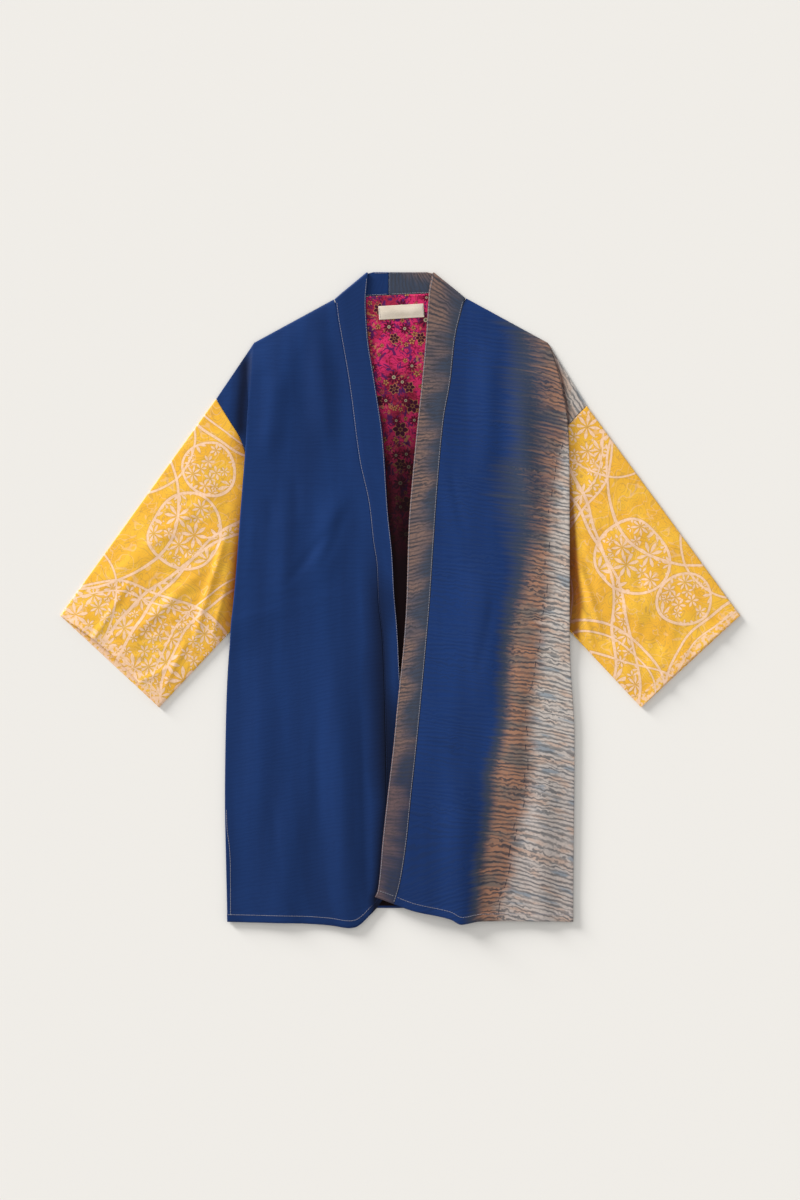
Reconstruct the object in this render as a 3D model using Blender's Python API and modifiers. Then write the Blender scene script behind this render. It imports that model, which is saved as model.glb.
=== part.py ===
"""A short kimono jacket of pieced silk, laid flat on its back.

Metres, +Z up. The neck points to +Y and the hem to -Y, the ground is Z = 0, and the origin is
under the middle of the jacket. "Left" and "right" are as seen from above. Each side's tables
give "out", the distance from the middle line towards that side, and y, the place along it.
"""

import math

import bpy
import numpy as np

# Cloth, and how close its pieces lie
CLOTH = 0.0012
BAND_CLOTH = 0.0020
LABEL_CLOTH = 0.0006
SEAM_GAP = 0.0003

# Heights of the middle of each layer above the ground
BACK_LEVEL = CLOTH / 2
LINING_LEVEL = BACK_LEVEL + CLOTH + SEAM_GAP
LABEL_LEVEL = LINING_LEVEL + CLOTH / 2 + SEAM_GAP + LABEL_CLOTH / 2
EDGE_LEVEL = BACK_LEVEL + CLOTH + SEAM_GAP
SLEEVE_FRONT_LEVEL = LINING_LEVEL + CLOTH + SEAM_GAP
NECK_BACK_LEVEL = BAND_CLOTH / 2

# The whole jacket
NECK_TOP = 0.4425
NECK_HALF_WIDTH = 0.0449
SHOULDER_Y = 0.3471
BACK_HEM_Y = -0.4158
LINING_HEM_Y = -0.4125
SHOULDER_ROLL = 0.020
SHOULDER_CORNER_OUT = 0.0015
SHOULDER_CORNER_DOWN = 0.0008

# Where the front turns back under itself beside the sleeve
FOLD_RADIUS = 0.0013
NECK_FOLD_RADIUS = 0.0015
NECK_FOLD_TURN = np.radians((-90, -45, 0, 45, 90))
SHORTEST_STRAIGHT = 0.0004

# How finely the sheets are divided
ACROSS_FRONT = 14
SEAM_CROWDING = 1.25
EDGE_STEPS = 11
EDGE_STEP_LENGTH = 0.012
EDGE_STEP_ANGLE = math.radians(45)
EDGE_FINENESS = 24
ACROSS_BAND = 4
FRONT_STRETCHES = (
    (-0.4340, -0.1000, 8),
    (-0.1000, -0.0150, 6),
    (-0.0150, 0.2000, 6),
    (0.2000, 0.3200, 8),
    (0.3200, 0.3471, 5),
)
BAND_ROWS_LEFT_OUT = 3

# Sleeves
CUFF_TOP = (0.4588, -0.0211)
CUFF_BOTTOM = (0.3253, -0.1450)
UNDERARM_Y = -0.0150
ARMHOLE_GAP = 2 * SEAM_GAP
SLEEVE_ROWS_SHARED = 2
SLEEVE_EDGE_RADIUS = (SLEEVE_FRONT_LEVEL - BACK_LEVEL) / 2
ROUND_SLEEVE_EDGE = 4
ALONG_SLEEVE = 15
SLEEVE_TUCK = 0.035
SLEEVE_PUFF = 0.0014
CUFF_BOW_START = 0.75

COLOURS = {
    "front_left": (0.016, 0.040, 0.150),
    "front_right": (0.120, 0.120, 0.170),
    "back_panel": (0.016, 0.040, 0.150),
    "back_lining": (0.330, 0.012, 0.090),
    "sleeve_left": (0.880, 0.480, 0.040),
    "sleeve_right": (0.880, 0.480, 0.040),
    "neck_band_left": (0.014, 0.036, 0.135),
    "neck_band_right": (0.130, 0.090, 0.085),
    "label": (0.780, 0.730, 0.620),
}
SILK_ROUGHNESS = 0.55


def table(columns, *rows):
    """Rows of numbers as named columns."""
    return dict(zip(columns.split(), np.array(rows, float).T))


def read(source, column, at, by="y"):
    """A column's value at the given places, on a smooth curve through the rows that never overshoots."""
    order = np.argsort(source[by])
    place = source[by][order]
    value = source[column][order]
    step = np.diff(place)
    slope = np.diff(value) / step
    tangent = np.zeros_like(value)
    tangent[0] = slope[0]
    tangent[-1] = slope[-1]
    before = slope[:-1]
    after = slope[1:]
    alike = before * after > 0
    tangent[1:-1][alike] = 2 * (before * after)[alike] / (before + after)[alike]
    at = np.clip(np.asarray(at, float), place[0], place[-1])
    row = np.clip(np.searchsorted(place, at) - 1, 0, len(step) - 1)
    t = (at - place[row]) / step[row]
    start = (1 + 2 * t) * (1 - t) ** 2 * value[row] + t * (1 - t) ** 2 * step[row] * tangent[row]
    end = t * t * (3 - 2 * t) * value[row + 1] + t * t * (t - 1) * step[row] * tangent[row + 1]
    return start + end


def ease(t):
    """0 to 1 with level ends."""
    t = np.clip(t, 0, 1)
    return t * t * (3 - 2 * t)


# The armhole and side seam of each side, from the top of the armhole to the hem
LEFT_SEAM = table(
    "y out",
    (0.2714, 0.2481),
    (0.2440, 0.2312),
    (0.2160, 0.2146),
    (0.1900, 0.2066),
    (0.1500, 0.2030),
    (0.1000, 0.2010),
    (0.0400, 0.2000),
    (-0.0150, 0.2027),
    (-0.0290, 0.2153),
    (-0.0440, 0.2297),
    (-0.1620, 0.2352),
    (-0.2700, 0.2366),
    (-0.3510, 0.2352),
    (-0.4343, 0.2332),
)
RIGHT_SEAM = table(
    "y out",
    (0.2620, 0.2514),
    (0.2444, 0.2340),
    (0.2300, 0.2218),
    (0.2050, 0.2110),
    (0.1500, 0.2030),
    (0.0600, 0.2000),
    (-0.0150, 0.2027),
    (-0.0290, 0.2153),
    (-0.0440, 0.2293),
    (-0.0941, 0.2298),
    (-0.1871, 0.2350),
    (-0.4343, 0.2332),
)

# The outer edge of each front: where its top layer starts to turn down (lip), how far out the
# turn ends (run, below zero where it tucks back under), the heights of the top layer and of the
# edge that it comes down to, and the place on the seam that the same row of cloth reaches
LEFT_EDGE = table(
    "y lip run top level seam_y",
    (0.3471, 0.1970, 0.0140, 0.0021, 0.0021, 0.2714),
    (0.3350, 0.1985, 0.0110, 0.0042, 0.0028, 0.2640),
    (0.3000, 0.2005, 0.0060, 0.0082, 0.0036, 0.2500),
    (0.2600, 0.2040, 0.0000, 0.0091, 0.0036, 0.2330),
    (0.2041, 0.2071, -0.0090, 0.0091, 0.0036, 0.2000),
    (0.1148, 0.2140, -0.0160, 0.0090, 0.0036, 0.1148),
    (0.0324, 0.2200, -0.0215, 0.0089, 0.0036, 0.0324),
    (-0.0150, 0.2245, -0.0245, 0.0089, 0.0036, -0.0150),
    (-0.0285, 0.2262, -0.0125, 0.0092, 0.0032, -0.0290),
    (-0.0430, 0.2272, -0.0010, 0.0086, 0.0021, -0.0440),
    (-0.0900, 0.2215, 0.0080, 0.0072, 0.0021, -0.0900),
    (-0.1620, 0.2247, 0.0080, 0.0068, 0.0021, -0.1620),
    (-0.2700, 0.2261, 0.0080, 0.0064, 0.0021, -0.2700),
    (-0.3510, 0.2247, 0.0080, 0.0060, 0.0021, -0.3510),
    (-0.4340, 0.2242, 0.0065, 0.0048, 0.0021, -0.4340),
)
RIGHT_EDGE = table(
    "y lip run top level seam_y",
    (0.3471, 0.1988, 0.0140, 0.0021, 0.0021, 0.2620),
    (0.3350, 0.2035, 0.0110, 0.0034, 0.0026, 0.2575),
    (0.3100, 0.2112, 0.0065, 0.0062, 0.0034, 0.2515),
    (0.2850, 0.2172, 0.0020, 0.0088, 0.0036, 0.2450),
    (0.2390, 0.2245, -0.0070, 0.0091, 0.0036, 0.2320),
    (0.2000, 0.2260, -0.0180, 0.0091, 0.0036, 0.1980),
    (0.1500, 0.2266, -0.0255, 0.0090, 0.0036, 0.1500),
    (0.0600, 0.2268, -0.0285, 0.0089, 0.0036, 0.0600),
    (-0.0150, 0.2268, -0.0270, 0.0089, 0.0036, -0.0150),
    (-0.0285, 0.2268, -0.0130, 0.0092, 0.0032, -0.0290),
    (-0.0430, 0.2268, -0.0010, 0.0088, 0.0021, -0.0440),
    (-0.0941, 0.2193, 0.0080, 0.0078, 0.0021, -0.0941),
    (-0.1871, 0.2245, 0.0080, 0.0074, 0.0021, -0.1871),
    (-0.3500, 0.2240, 0.0080, 0.0066, 0.0021, -0.3500),
    (-0.4340, 0.2242, 0.0065, 0.0050, 0.0021, -0.4340),
)

# The seam between each front and its neck band, with the height of the cloth along it
LEFT_BAND_SEAM = table(
    "y out height",
    (0.4057, 0.0894, 0.0040),
    (0.2938, 0.0696, 0.0050),
    (0.1904, 0.0558, 0.0055),
    (0.1284, 0.0422, 0.0051),
    (0.0802, 0.0369, 0.0047),
    (0.0458, 0.0318, 0.0044),
    (0.0000, 0.0300, 0.0042),
    (-0.0540, 0.0241, 0.0041),
    (-0.1310, 0.0213, 0.0041),
    (-0.2500, 0.0190, 0.0041),
    (-0.3970, 0.0170, 0.0041),
)
RIGHT_BAND_SEAM = table(
    "y out height",
    (0.4073, 0.0886, 0.0040),
    (0.3557, 0.0749, 0.0048),
    (0.2938, 0.0680, 0.0054),
    (0.2454, 0.0593, 0.0058),
    (0.1732, 0.0523, 0.0062),
    (0.0802, 0.0456, 0.0067),
    (0.0000, 0.0404, 0.0080),
    (-0.0540, 0.0358, 0.0095),
    (-0.1364, 0.0283, 0.0112),
    (-0.2124, 0.0207, 0.0120),
    (-0.2700, 0.0145, 0.0122),
    (-0.3240, 0.0091, 0.0120),
    (-0.3807, 0.0001, 0.0115),
    (-0.4099, -0.0083, 0.0110),
)

# The free edge of each neck band
LEFT_BAND_EDGE = table(
    "y out height",
    (0.4425, 0.0449, 0.0040),
    (0.4104, 0.0462, 0.0043),
    (0.3591, 0.0438, 0.0047),
    (0.2943, 0.0341, 0.0052),
    (0.2160, 0.0229, 0.0051),
    (0.1175, 0.0165, 0.0047),
    (0.0594, 0.0106, 0.0044),
    (0.0149, 0.0084, 0.0043),
    (-0.0414, 0.0038, 0.0042),
    (-0.0972, 0.0010, 0.0041),
    (-0.2500, -0.0080, 0.0041),
    (-0.4000, -0.0120, 0.0041),
)
RIGHT_BAND_EDGE = table(
    "y out height",
    (0.4425, 0.0449, 0.0040),
    (0.4142, 0.0387, 0.0043),
    (0.3557, 0.0345, 0.0048),
    (0.2867, 0.0283, 0.0052),
    (0.2390, 0.0232, 0.0053),
    (0.1663, 0.0163, 0.0056),
    (0.0973, 0.0111, 0.0060),
    (0.0000, 0.0083, 0.0072),
    (-0.0540, 0.0049, 0.0088),
    (-0.1422, -0.0041, 0.0110),
    (-0.1917, -0.0088, 0.0118),
    (-0.2700, -0.0179, 0.0123),
    (-0.3240, -0.0238, 0.0122),
    (-0.3911, -0.0303, 0.0117),
    (-0.4001, -0.0341, 0.0115),
)

# Where a straight row of the band runs, from its seam to its free edge
BAND_ROWS = table(
    "seam_y edge_y",
    (0.4057, 0.4425),
    (0.3850, 0.4080),
    (0.3650, 0.3770),
    (0.3400, 0.3450),
    (0.3100, 0.3110),
    (-0.3000, -0.3000),
    (-0.4100, -0.4000),
)

# The seam of the collar across the back of the neck
LEFT_NECK = table(
    "edge_out seam_out y",
    (0.0152, 0.0152, 0.4116),
    (0.0260, 0.0420, 0.4104),
    (0.0360, 0.0680, 0.4080),
)
RIGHT_NECK = table(
    "edge_out seam_out y",
    (-0.0152, -0.0152, 0.4116),
    (0.0080, 0.0100, 0.4127),
    (0.0250, 0.0420, 0.4140),
    (0.0360, 0.0680, 0.4100),
)

# The lower edges of the fronts
LEFT_HEM = table(
    "out y",
    (0.0170, -0.3970),
    (0.0240, -0.4050),
    (0.0315, -0.4155),
    (0.0431, -0.4273),
    (0.0522, -0.4363),
    (0.0600, -0.4412),
    (0.0678, -0.4425),
    (0.0950, -0.4389),
    (0.1353, -0.4363),
    (0.1735, -0.4355),
    (0.2332, -0.4342),
)
RIGHT_HEM = table(
    "out y",
    (-0.0083, -0.4099),
    (0.0163, -0.4189),
    (0.0678, -0.4305),
    (0.0820, -0.4374),
    (0.1077, -0.4334),
    (0.1500, -0.4330),
    (0.2332, -0.4340),
)
HEM_REACH = 0.060

# Soft folds in the fronts: a ridge from its upper to its lower end, below zero for a trough
LEFT_FOLDS = table(
    "out_from y_from out_to y_to width height",
    (0.160, 0.335, 0.178, 0.180, 0.016, 0.0030),
    (0.112, 0.385, 0.098, 0.190, 0.014, 0.0032),
    (0.136, 0.360, 0.128, 0.220, 0.011, -0.0014),
    (0.080, 0.160, 0.112, 0.010, 0.013, 0.0036),
    (0.150, 0.170, 0.160, -0.040, 0.015, 0.0028),
    (0.090, -0.030, 0.066, -0.520, 0.017, 0.0078),
    (0.188, -0.090, 0.196, -0.340, 0.018, 0.0024),
    (0.145, -0.220, 0.165, -0.540, 0.024, 0.0032),
)
RIGHT_FOLDS = table(
    "out_from y_from out_to y_to width height",
    (0.122, 0.380, 0.112, 0.120, 0.017, 0.0030),
    (0.160, 0.340, 0.178, 0.060, 0.016, 0.0030),
    (0.105, 0.080, 0.122, -0.180, 0.019, 0.0030),
    (0.165, -0.040, 0.148, -0.300, 0.018, 0.0026),
    (0.078, -0.190, 0.084, -0.540, 0.021, 0.0040),
    (0.190, -0.180, 0.192, -0.540, 0.018, 0.0026),
)
FOLD_END = 0.35
FOLD_EDGE = 0.16

# Soft folds in the front of each sleeve, by share of its width (across) and of its length (along)
LEFT_SLEEVE_FOLDS = table(
    "across_from along_from across_to along_to width height",
    (0.30, 0.25, 0.10, 0.85, 0.055, 0.0016),
    (0.80, 0.15, 0.45, 0.95, 0.060, 0.0022),
    (0.95, 0.25, 0.75, 0.90, 0.050, 0.0018),
    (0.60, 0.20, 0.25, 0.55, 0.050, 0.0014),
)
RIGHT_SLEEVE_FOLDS = table(
    "across_from along_from across_to along_to width height",
    (0.25, 0.22, 0.15, 0.80, 0.055, 0.0015),
    (0.85, 0.15, 0.60, 0.80, 0.060, 0.0022),
    (0.55, 0.30, 0.40, 0.95, 0.050, 0.0018),
)

# The back lining, as half an outline from the neck to the hem
LINING_SIDE = table(
    "out y",
    (0.0420, 0.4098),
    (0.0840, 0.3930),
    (0.1880, 0.3350),
    (0.1880, -0.0400),
    (0.2180, -0.0900),
    (0.2180, LINING_HEM_Y),
)

# The woven label: its middle, size and slant
LABEL_MIDDLE = (0.0015, 0.3889)
LABEL_WIDTH = 0.0610
LABEL_DEPTH = 0.0184
LABEL_SLANT = math.radians(3.5)

SIDES = {
    "left": dict(
        sign=-1,
        seam=LEFT_SEAM,
        edge=LEFT_EDGE,
        band_seam=LEFT_BAND_SEAM,
        band_edge=LEFT_BAND_EDGE,
        neck=LEFT_NECK,
        hem=LEFT_HEM,
        folds=LEFT_FOLDS,
        sleeve_folds=LEFT_SLEEVE_FOLDS,
        cuff_bow=0.0090,
    ),
    "right": dict(
        sign=1,
        seam=RIGHT_SEAM,
        edge=RIGHT_EDGE,
        band_seam=RIGHT_BAND_SEAM,
        band_edge=RIGHT_BAND_EDGE,
        neck=RIGHT_NECK,
        hem=RIGHT_HEM,
        folds=RIGHT_FOLDS,
        sleeve_folds=RIGHT_SLEEVE_FOLDS,
        cuff_bow=0.0020,
    ),
}


def clear_scene():
    for old in list(bpy.data.objects):
        bpy.data.objects.remove(old, do_unlink=True)


def silk(name):
    material = bpy.data.materials.new(name)
    material.use_nodes = True
    shader = material.node_tree.nodes["Principled BSDF"]
    shader.inputs["Base Color"].default_value = (*COLOURS[name], 1)
    shader.inputs["Roughness"].default_value = SILK_ROUGHNESS
    shader.inputs["Metallic"].default_value = 0
    return material


def loft(name, points, thickness, collection, closed=False):
    """A sheet with a thickness through rows of points, each joined to the next. Closed rows make a tube."""
    rows, columns = points.shape[:2]
    first = np.arange(rows * columns).reshape(rows, columns)
    if closed:
        first = np.hstack([first, first[:, :1]])
    corners = (first[:-1, :-1], first[:-1, 1:], first[1:, 1:], first[1:, :-1])
    faces = np.stack(corners, axis=-1).reshape(-1, 4)
    mesh = bpy.data.meshes.new(name)
    mesh.from_pydata(points.reshape(-1, 3).tolist(), [], faces.tolist())
    mesh.shade_smooth()
    mesh.materials.append(silk(name))
    sheet = bpy.data.objects.new(name, mesh)
    collection.objects.link(sheet)
    wall = sheet.modifiers.new("wall", "SOLIDIFY")
    wall.thickness = thickness
    wall.offset = 0
    return sheet


def flat_piece(name, outline, thickness, level, collection):
    """A flat piece of cloth cut to an outline."""
    curve = bpy.data.curves.new(name, "CURVE")
    curve.dimensions = "2D"
    curve.fill_mode = "BOTH"
    curve.extrude = thickness / 2
    spline = curve.splines.new("POLY")
    spline.points.add(len(outline) - 1)
    for point, (x, y) in zip(spline.points, outline):
        point.co = (x, y, 0, 1)
    spline.use_cyclic_u = True
    curve.materials.append(silk(name))
    piece = bpy.data.objects.new(name, curve)
    piece.location.z = level
    collection.objects.link(piece)
    return piece


def fold_heights(folds, across, along, across_names, along_names):
    """The height that a table of soft folds adds: a rounded ridge along each line, fading at its ends."""
    total = np.zeros_like(across)
    for k in range(len(folds["width"])):
        start = (folds[across_names[0]][k], folds[along_names[0]][k])
        end = (folds[across_names[1]][k], folds[along_names[1]][k])
        share = (along - start[1]) / (end[1] - start[1])
        middle = start[0] + (end[0] - start[0]) * np.clip(share, 0, 1)
        ridge = np.exp(-(((across - middle) / folds["width"][k]) ** 2))
        fade = ease(share / FOLD_END) * ease((1 - share) / FOLD_END)
        total += folds["height"][k] * ridge * fade
    return total


def front_rows():
    """The places along the outer edge of a front where its rows of cloth end."""
    stretches = [np.linspace(low, high, steps, endpoint=False) for low, high, steps in FRONT_STRETCHES]
    return np.append(np.concatenate(stretches), SHOULDER_Y)


def band_seam_places(side):
    """The places along the band's seam where the rows of the front start."""
    rows = front_rows()
    share = (rows - rows[0]) / (rows[-1] - rows[0])
    seam_y = side["band_seam"]["y"]
    return seam_y[-1] + share * (seam_y[0] - seam_y[-1])


def turned_edge(drop, run, reach):
    """One row's turned edge as points out and down, with the share of its length at each.

    An arc turns over the edge, a straight runs down or back under, an arc turns back to level, and the
    cap runs level to its seam, which is `reach` beyond the lip. The points stand at equal steps of
    length and turning together."""
    beyond = drop - 2 * FOLD_RADIUS
    straight = math.sqrt(max(run**2 + beyond**2 - 4 * FOLD_RADIUS**2, SHORTEST_STRAIGHT**2))
    turn = math.atan2(beyond, run) + math.atan2(2 * FOLD_RADIUS, straight)
    over = np.linspace(0, turn, EDGE_FINENESS)
    back = over[::-1]
    first_out = FOLD_RADIUS * np.sin(over)
    first_down = FOLD_RADIUS * (1 - np.cos(over))
    second_out = first_out[-1] + straight * math.cos(turn) + FOLD_RADIUS * (math.sin(turn) - np.sin(back))
    second_down = first_down[-1] + straight * math.sin(turn) + FOLD_RADIUS * (np.cos(back) - math.cos(turn))
    out = np.concatenate([first_out, second_out, [reach]])
    down = np.concatenate([first_down, second_down, second_down[-1:]])
    turned = np.concatenate([over, 2 * turn - back, [2 * turn]])
    length = np.append(0, np.cumsum(np.hypot(np.diff(out), np.diff(down))))
    measure = length / EDGE_STEP_LENGTH + turned / EDGE_STEP_ANGLE
    places = np.linspace(0, measure[-1], EDGE_STEPS + 1)[1:]
    share = np.interp(places, measure, length / length[-1])
    return np.interp(places, measure, out), np.interp(places, measure, down), share


def outer_seam(side):
    """Where each row of a front ends: the armhole seam, then the side seam."""
    seam_y = read(side["edge"], "seam_y", front_rows())
    return read(side["seam"], "out", seam_y), seam_y


def front_points(side):
    """Rows of points from the band's seam over the front, round its turned edge and out to the seam."""
    rows = front_rows()
    seam_y = band_seam_places(side)
    seam_out = read(side["band_seam"], "out", seam_y)
    seam_out[-1] += SHOULDER_CORNER_OUT
    seam_y[-1] -= SHOULDER_CORNER_DOWN
    seam_height = read(side["band_seam"], "height", seam_y)
    lip = read(side["edge"], "lip", rows)
    run = read(side["edge"], "run", rows)
    top = read(side["edge"], "top", rows)
    level = read(side["edge"], "level", rows)
    end_out, end_y = outer_seam(side)

    across = np.linspace(0, 1, ACROSS_FRONT + 1) ** SEAM_CROWDING
    out = seam_out[:, None] + (lip - seam_out)[:, None] * across
    y = seam_y[:, None] + (rows - seam_y)[:, None] * across
    hem_y = read(side["hem"], "y", out[0], by="out")
    y = y + (hem_y - y[0]) * np.clip(1 - (y - y[0]) / HEM_REACH, 0, 1) ** 2
    height = seam_height[:, None] + (top - seam_height)[:, None] * ease(across)
    edges = ease(across / FOLD_EDGE) * ease((1 - across) / FOLD_EDGE)
    height = height + edges * fold_heights(side["folds"], out, y, ("out_from", "out_to"), ("y_from", "y_to"))
    to_shoulder = np.clip((SHOULDER_Y - rows) / SHOULDER_ROLL, 0, 1)[:, None]
    height = EDGE_LEVEL + (height - EDGE_LEVEL) * np.sqrt(1 - (1 - to_shoulder) ** 2)

    turned = []
    for k in range(len(rows)):
        drop = height[k, -1] - level[k]
        path_out, path_down, share = turned_edge(drop, run[k], end_out[k] - lip[k])
        path_y = y[k, -1] + (end_y[k] - y[k, -1]) * share
        turned.append(np.stack([lip[k] + path_out, path_y, height[k, -1] - path_down], axis=-1))
    top_layer = np.stack([out, y, height], axis=-1)
    points = np.concatenate([top_layer, np.array(turned)], axis=1)
    points[:, :, 0] *= side["sign"]
    return points[:, ::-1] if side["sign"] < 0 else points


def neck_fold(side):
    """The two ends of the slanted fold at the neck, inside the outline, and the way out of it."""
    neck = np.array([NECK_HALF_WIDTH, NECK_TOP])
    shoulder = np.array([side["band_seam"]["out"][0], side["band_seam"]["y"][0]])
    along = (shoulder - neck) / np.linalg.norm(shoulder - neck)
    outward = np.array([-along[1], along[0]])
    inset = outward * (NECK_FOLD_RADIUS + BAND_CLOTH / 2)
    return neck - inset, shoulder - inset, outward


def band_points(side):
    """Rows of points across the neck band: along the neck's back, over the slanted fold, down the front."""
    neck, shoulder, outward = neck_fold(side)
    across = np.linspace(0, 1, ACROSS_BAND + 1)[:, None]
    rows = []
    for k in range(len(side["neck"]["y"])):
        half_gap = SEAM_GAP / 2 if k == 0 else 0
        edge = np.array([side["neck"]["edge_out"][k] + half_gap, NECK_TOP])
        seam = np.array([side["neck"]["seam_out"][k] + half_gap, side["neck"]["y"][k]])
        plan = seam + (edge - seam) * across
        rows.append(np.hstack([plan, np.full_like(across, NECK_BACK_LEVEL)]))
    middle_height = NECK_BACK_LEVEL + NECK_FOLD_RADIUS
    for angle in NECK_FOLD_TURN:
        plan = shoulder + (neck - shoulder) * across + outward * NECK_FOLD_RADIUS * math.cos(angle)
        height = middle_height + NECK_FOLD_RADIUS * math.sin(angle)
        rows.append(np.hstack([plan, np.full_like(across, height)]))
    for seam_y in band_seam_places(side)[::-1][BAND_ROWS_LEFT_OUT:]:
        edge_y = read(BAND_ROWS, "edge_y", seam_y, by="seam_y")
        seam = np.array([read(side["band_seam"], "out", seam_y) - SEAM_GAP, seam_y])
        edge = np.array([read(side["band_edge"], "out", edge_y), edge_y])
        seam_height = read(side["band_seam"], "height", seam_y)
        edge_height = read(side["band_edge"], "height", edge_y)
        height = seam_height + (edge_height - seam_height) * ease(across)
        rows.append(np.hstack([seam + (edge - seam) * across, height]))
    points = np.array(rows)
    points[:, :, 0] *= side["sign"]
    return points if side["sign"] < 0 else points[:, ::-1]


def armhole(side, inset):
    """The sleeve's root along the armhole seam: its points, the way along it, and each one's share of it.

    It lies on the sleeve's side of the gap, and its first and last points stand in from the ends by the
    given shares."""
    out, y = outer_seam(side)
    on_armhole = front_rows() >= UNDERARM_Y - SEAM_GAP
    line = np.stack([out[on_armhole], y[on_armhole]], axis=-1)[::-1]
    way = np.diff(line, axis=0)
    length = np.append(0, np.cumsum(np.linalg.norm(way, axis=1)))
    shares = (length / length[-1])[::SLEEVE_ROWS_SHARED]
    shares[0] = inset[0]
    shares[-1] = 1 - inset[1]
    root = np.stack([np.interp(shares, length / length[-1], line[:, k]) for k in (0, 1)], axis=-1)
    slope = np.gradient(root, axis=0)
    slope /= np.linalg.norm(slope, axis=1)[:, None]
    outward = np.stack([-slope[:, 1], slope[:, 0]], axis=-1)
    return root + outward * ARMHOLE_GAP, slope, shares


def sleeve_points(side):
    """Rings round the flattened sleeve, armhole to cuff: front, lower edge, back, upper edge."""
    thickness = SLEEVE_EDGE_RADIUS + CLOTH / 2
    cuff_top = np.array(CUFF_TOP)
    cuff_across = np.array(CUFF_BOTTOM) - cuff_top
    cuff_width = np.linalg.norm(cuff_across)
    cuff_way = cuff_across / cuff_width
    whole, ways, _ = armhole(side, (0, 0))
    slant = []
    for end, cuff_end in ((0, cuff_top), (-1, np.array(CUFF_BOTTOM))):
        axis = (cuff_end - whole[end]) / np.linalg.norm(cuff_end - whole[end])
        slant.append(1 / abs(ways[end, 0] * axis[1] - ways[end, 1] * axis[0]))
    armhole_length = np.sum(np.linalg.norm(np.diff(whole, axis=0), axis=1))
    front_root, front_way, shares = armhole(side, [thickness * steep / armhole_length for steep in slant])
    cuff_inset = thickness / cuff_width
    cuff_shares = (shares - shares[0]) / (shares[-1] - shares[0])
    front_cuff = cuff_top + cuff_across * (cuff_inset + cuff_shares * (1 - 2 * cuff_inset))[:, None]

    count = len(shares)
    lower = np.linspace(90, -90, ROUND_SLEEVE_EDGE + 1)[1:-1]
    upper = np.linspace(-90, -270, ROUND_SLEEVE_EDGE + 1)[1:-1]
    ends = [np.full(len(turn), end) for turn, end in ((lower, count - 1), (upper, 0))]
    index = np.concatenate([np.arange(count), ends[0], np.arange(count)[::-1], ends[1]])
    angles = np.radians(np.concatenate([np.full(count, 90), lower, np.full(count, -90), upper]))
    is_front = np.arange(len(index)) < count
    root = front_root[index]
    cuff = front_cuff[index]
    widened = np.where(index == 0, slant[0], slant[1])[:, None]
    root_way = front_way[index] * widened
    across = cuff_shares[index]
    length = np.linalg.norm(cuff - root, axis=1)
    inward = (root - cuff) / length[:, None]
    middle = np.sin(np.pi * across).clip(0) * is_front
    rings = []
    for along in np.linspace(0, 1, ALONG_SLEEVE + 1):
        way = root_way + (cuff_way - root_way) * along
        bow = side["cuff_bow"] * ease((along - CUFF_BOW_START) / (1 - CUFF_BOW_START)) * middle
        plan = root + (cuff - root) * along + inward * bow[:, None]
        plan = plan + way * (SLEEVE_EDGE_RADIUS * np.cos(angles))[:, None]
        folds = fold_heights(
            side["sleeve_folds"],
            across,
            np.full_like(across, along),
            ("across_from", "across_to"),
            ("along_from", "along_to"),
        )
        lift = ease((along * length - SLEEVE_TUCK) / SLEEVE_TUCK) * np.sqrt(middle)
        height = BACK_LEVEL + SLEEVE_EDGE_RADIUS * (1 + np.sin(angles)) + lift * (SLEEVE_PUFF + folds)
        rings.append(np.hstack([plan, height[:, None]]))
    points = np.array(rings)
    points[:, :, 0] *= side["sign"]
    return points if side["sign"] > 0 else points[:, ::-1]


def back_side(side):
    """One side of the back panel's outline, from the neck to the hem."""
    neck, shoulder, outward = neck_fold(side)
    clearance = 2 * SEAM_GAP
    neck_edge = [
        (out, y - clearance) for out, y in zip(side["neck"]["seam_out"], side["neck"]["y"])
    ]
    along = (shoulder - neck) / np.linalg.norm(shoulder - neck)
    past_fold = shoulder + along * clearance
    beside_fold = past_fold + outward * (NECK_FOLD_RADIUS + BAND_CLOTH / 2 + clearance)
    seam_out, seam_y = outer_seam(side)
    above_hem = seam_y > BACK_HEM_Y
    side_edge = list(zip(seam_out[above_hem][::-1], seam_y[above_hem][::-1]))
    side_edge.append((float(read(side["seam"], "out", BACK_HEM_Y)), BACK_HEM_Y))
    shoulder_point = (side["edge"]["lip"][0], SHOULDER_Y)
    outline = neck_edge[1:] + [tuple(past_fold), tuple(beside_fold), shoulder_point] + side_edge
    return [(side["sign"] * out, y) for out, y in outline]


def build_back(collection):
    left = back_side(SIDES["left"])
    right = back_side(SIDES["right"])
    flat_piece("back_panel", left + right[::-1], CLOTH, BACK_LEVEL, collection)
    half = list(zip(LINING_SIDE["out"], LINING_SIDE["y"]))
    lining = [(-out, y) for out, y in half] + half[::-1]
    flat_piece("back_lining", lining, CLOTH, LINING_LEVEL, collection)


def build_label(collection):
    corners = []
    for x, y in ((-1, -1), (1, -1), (1, 1), (-1, 1)):
        along = x * LABEL_WIDTH / 2
        up = y * LABEL_DEPTH / 2
        turned_x = along * math.cos(LABEL_SLANT) - up * math.sin(LABEL_SLANT)
        turned_y = along * math.sin(LABEL_SLANT) + up * math.cos(LABEL_SLANT)
        corners.append((LABEL_MIDDLE[0] + turned_x, LABEL_MIDDLE[1] + turned_y))
    flat_piece("label", corners, LABEL_CLOTH, LABEL_LEVEL, collection)


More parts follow.
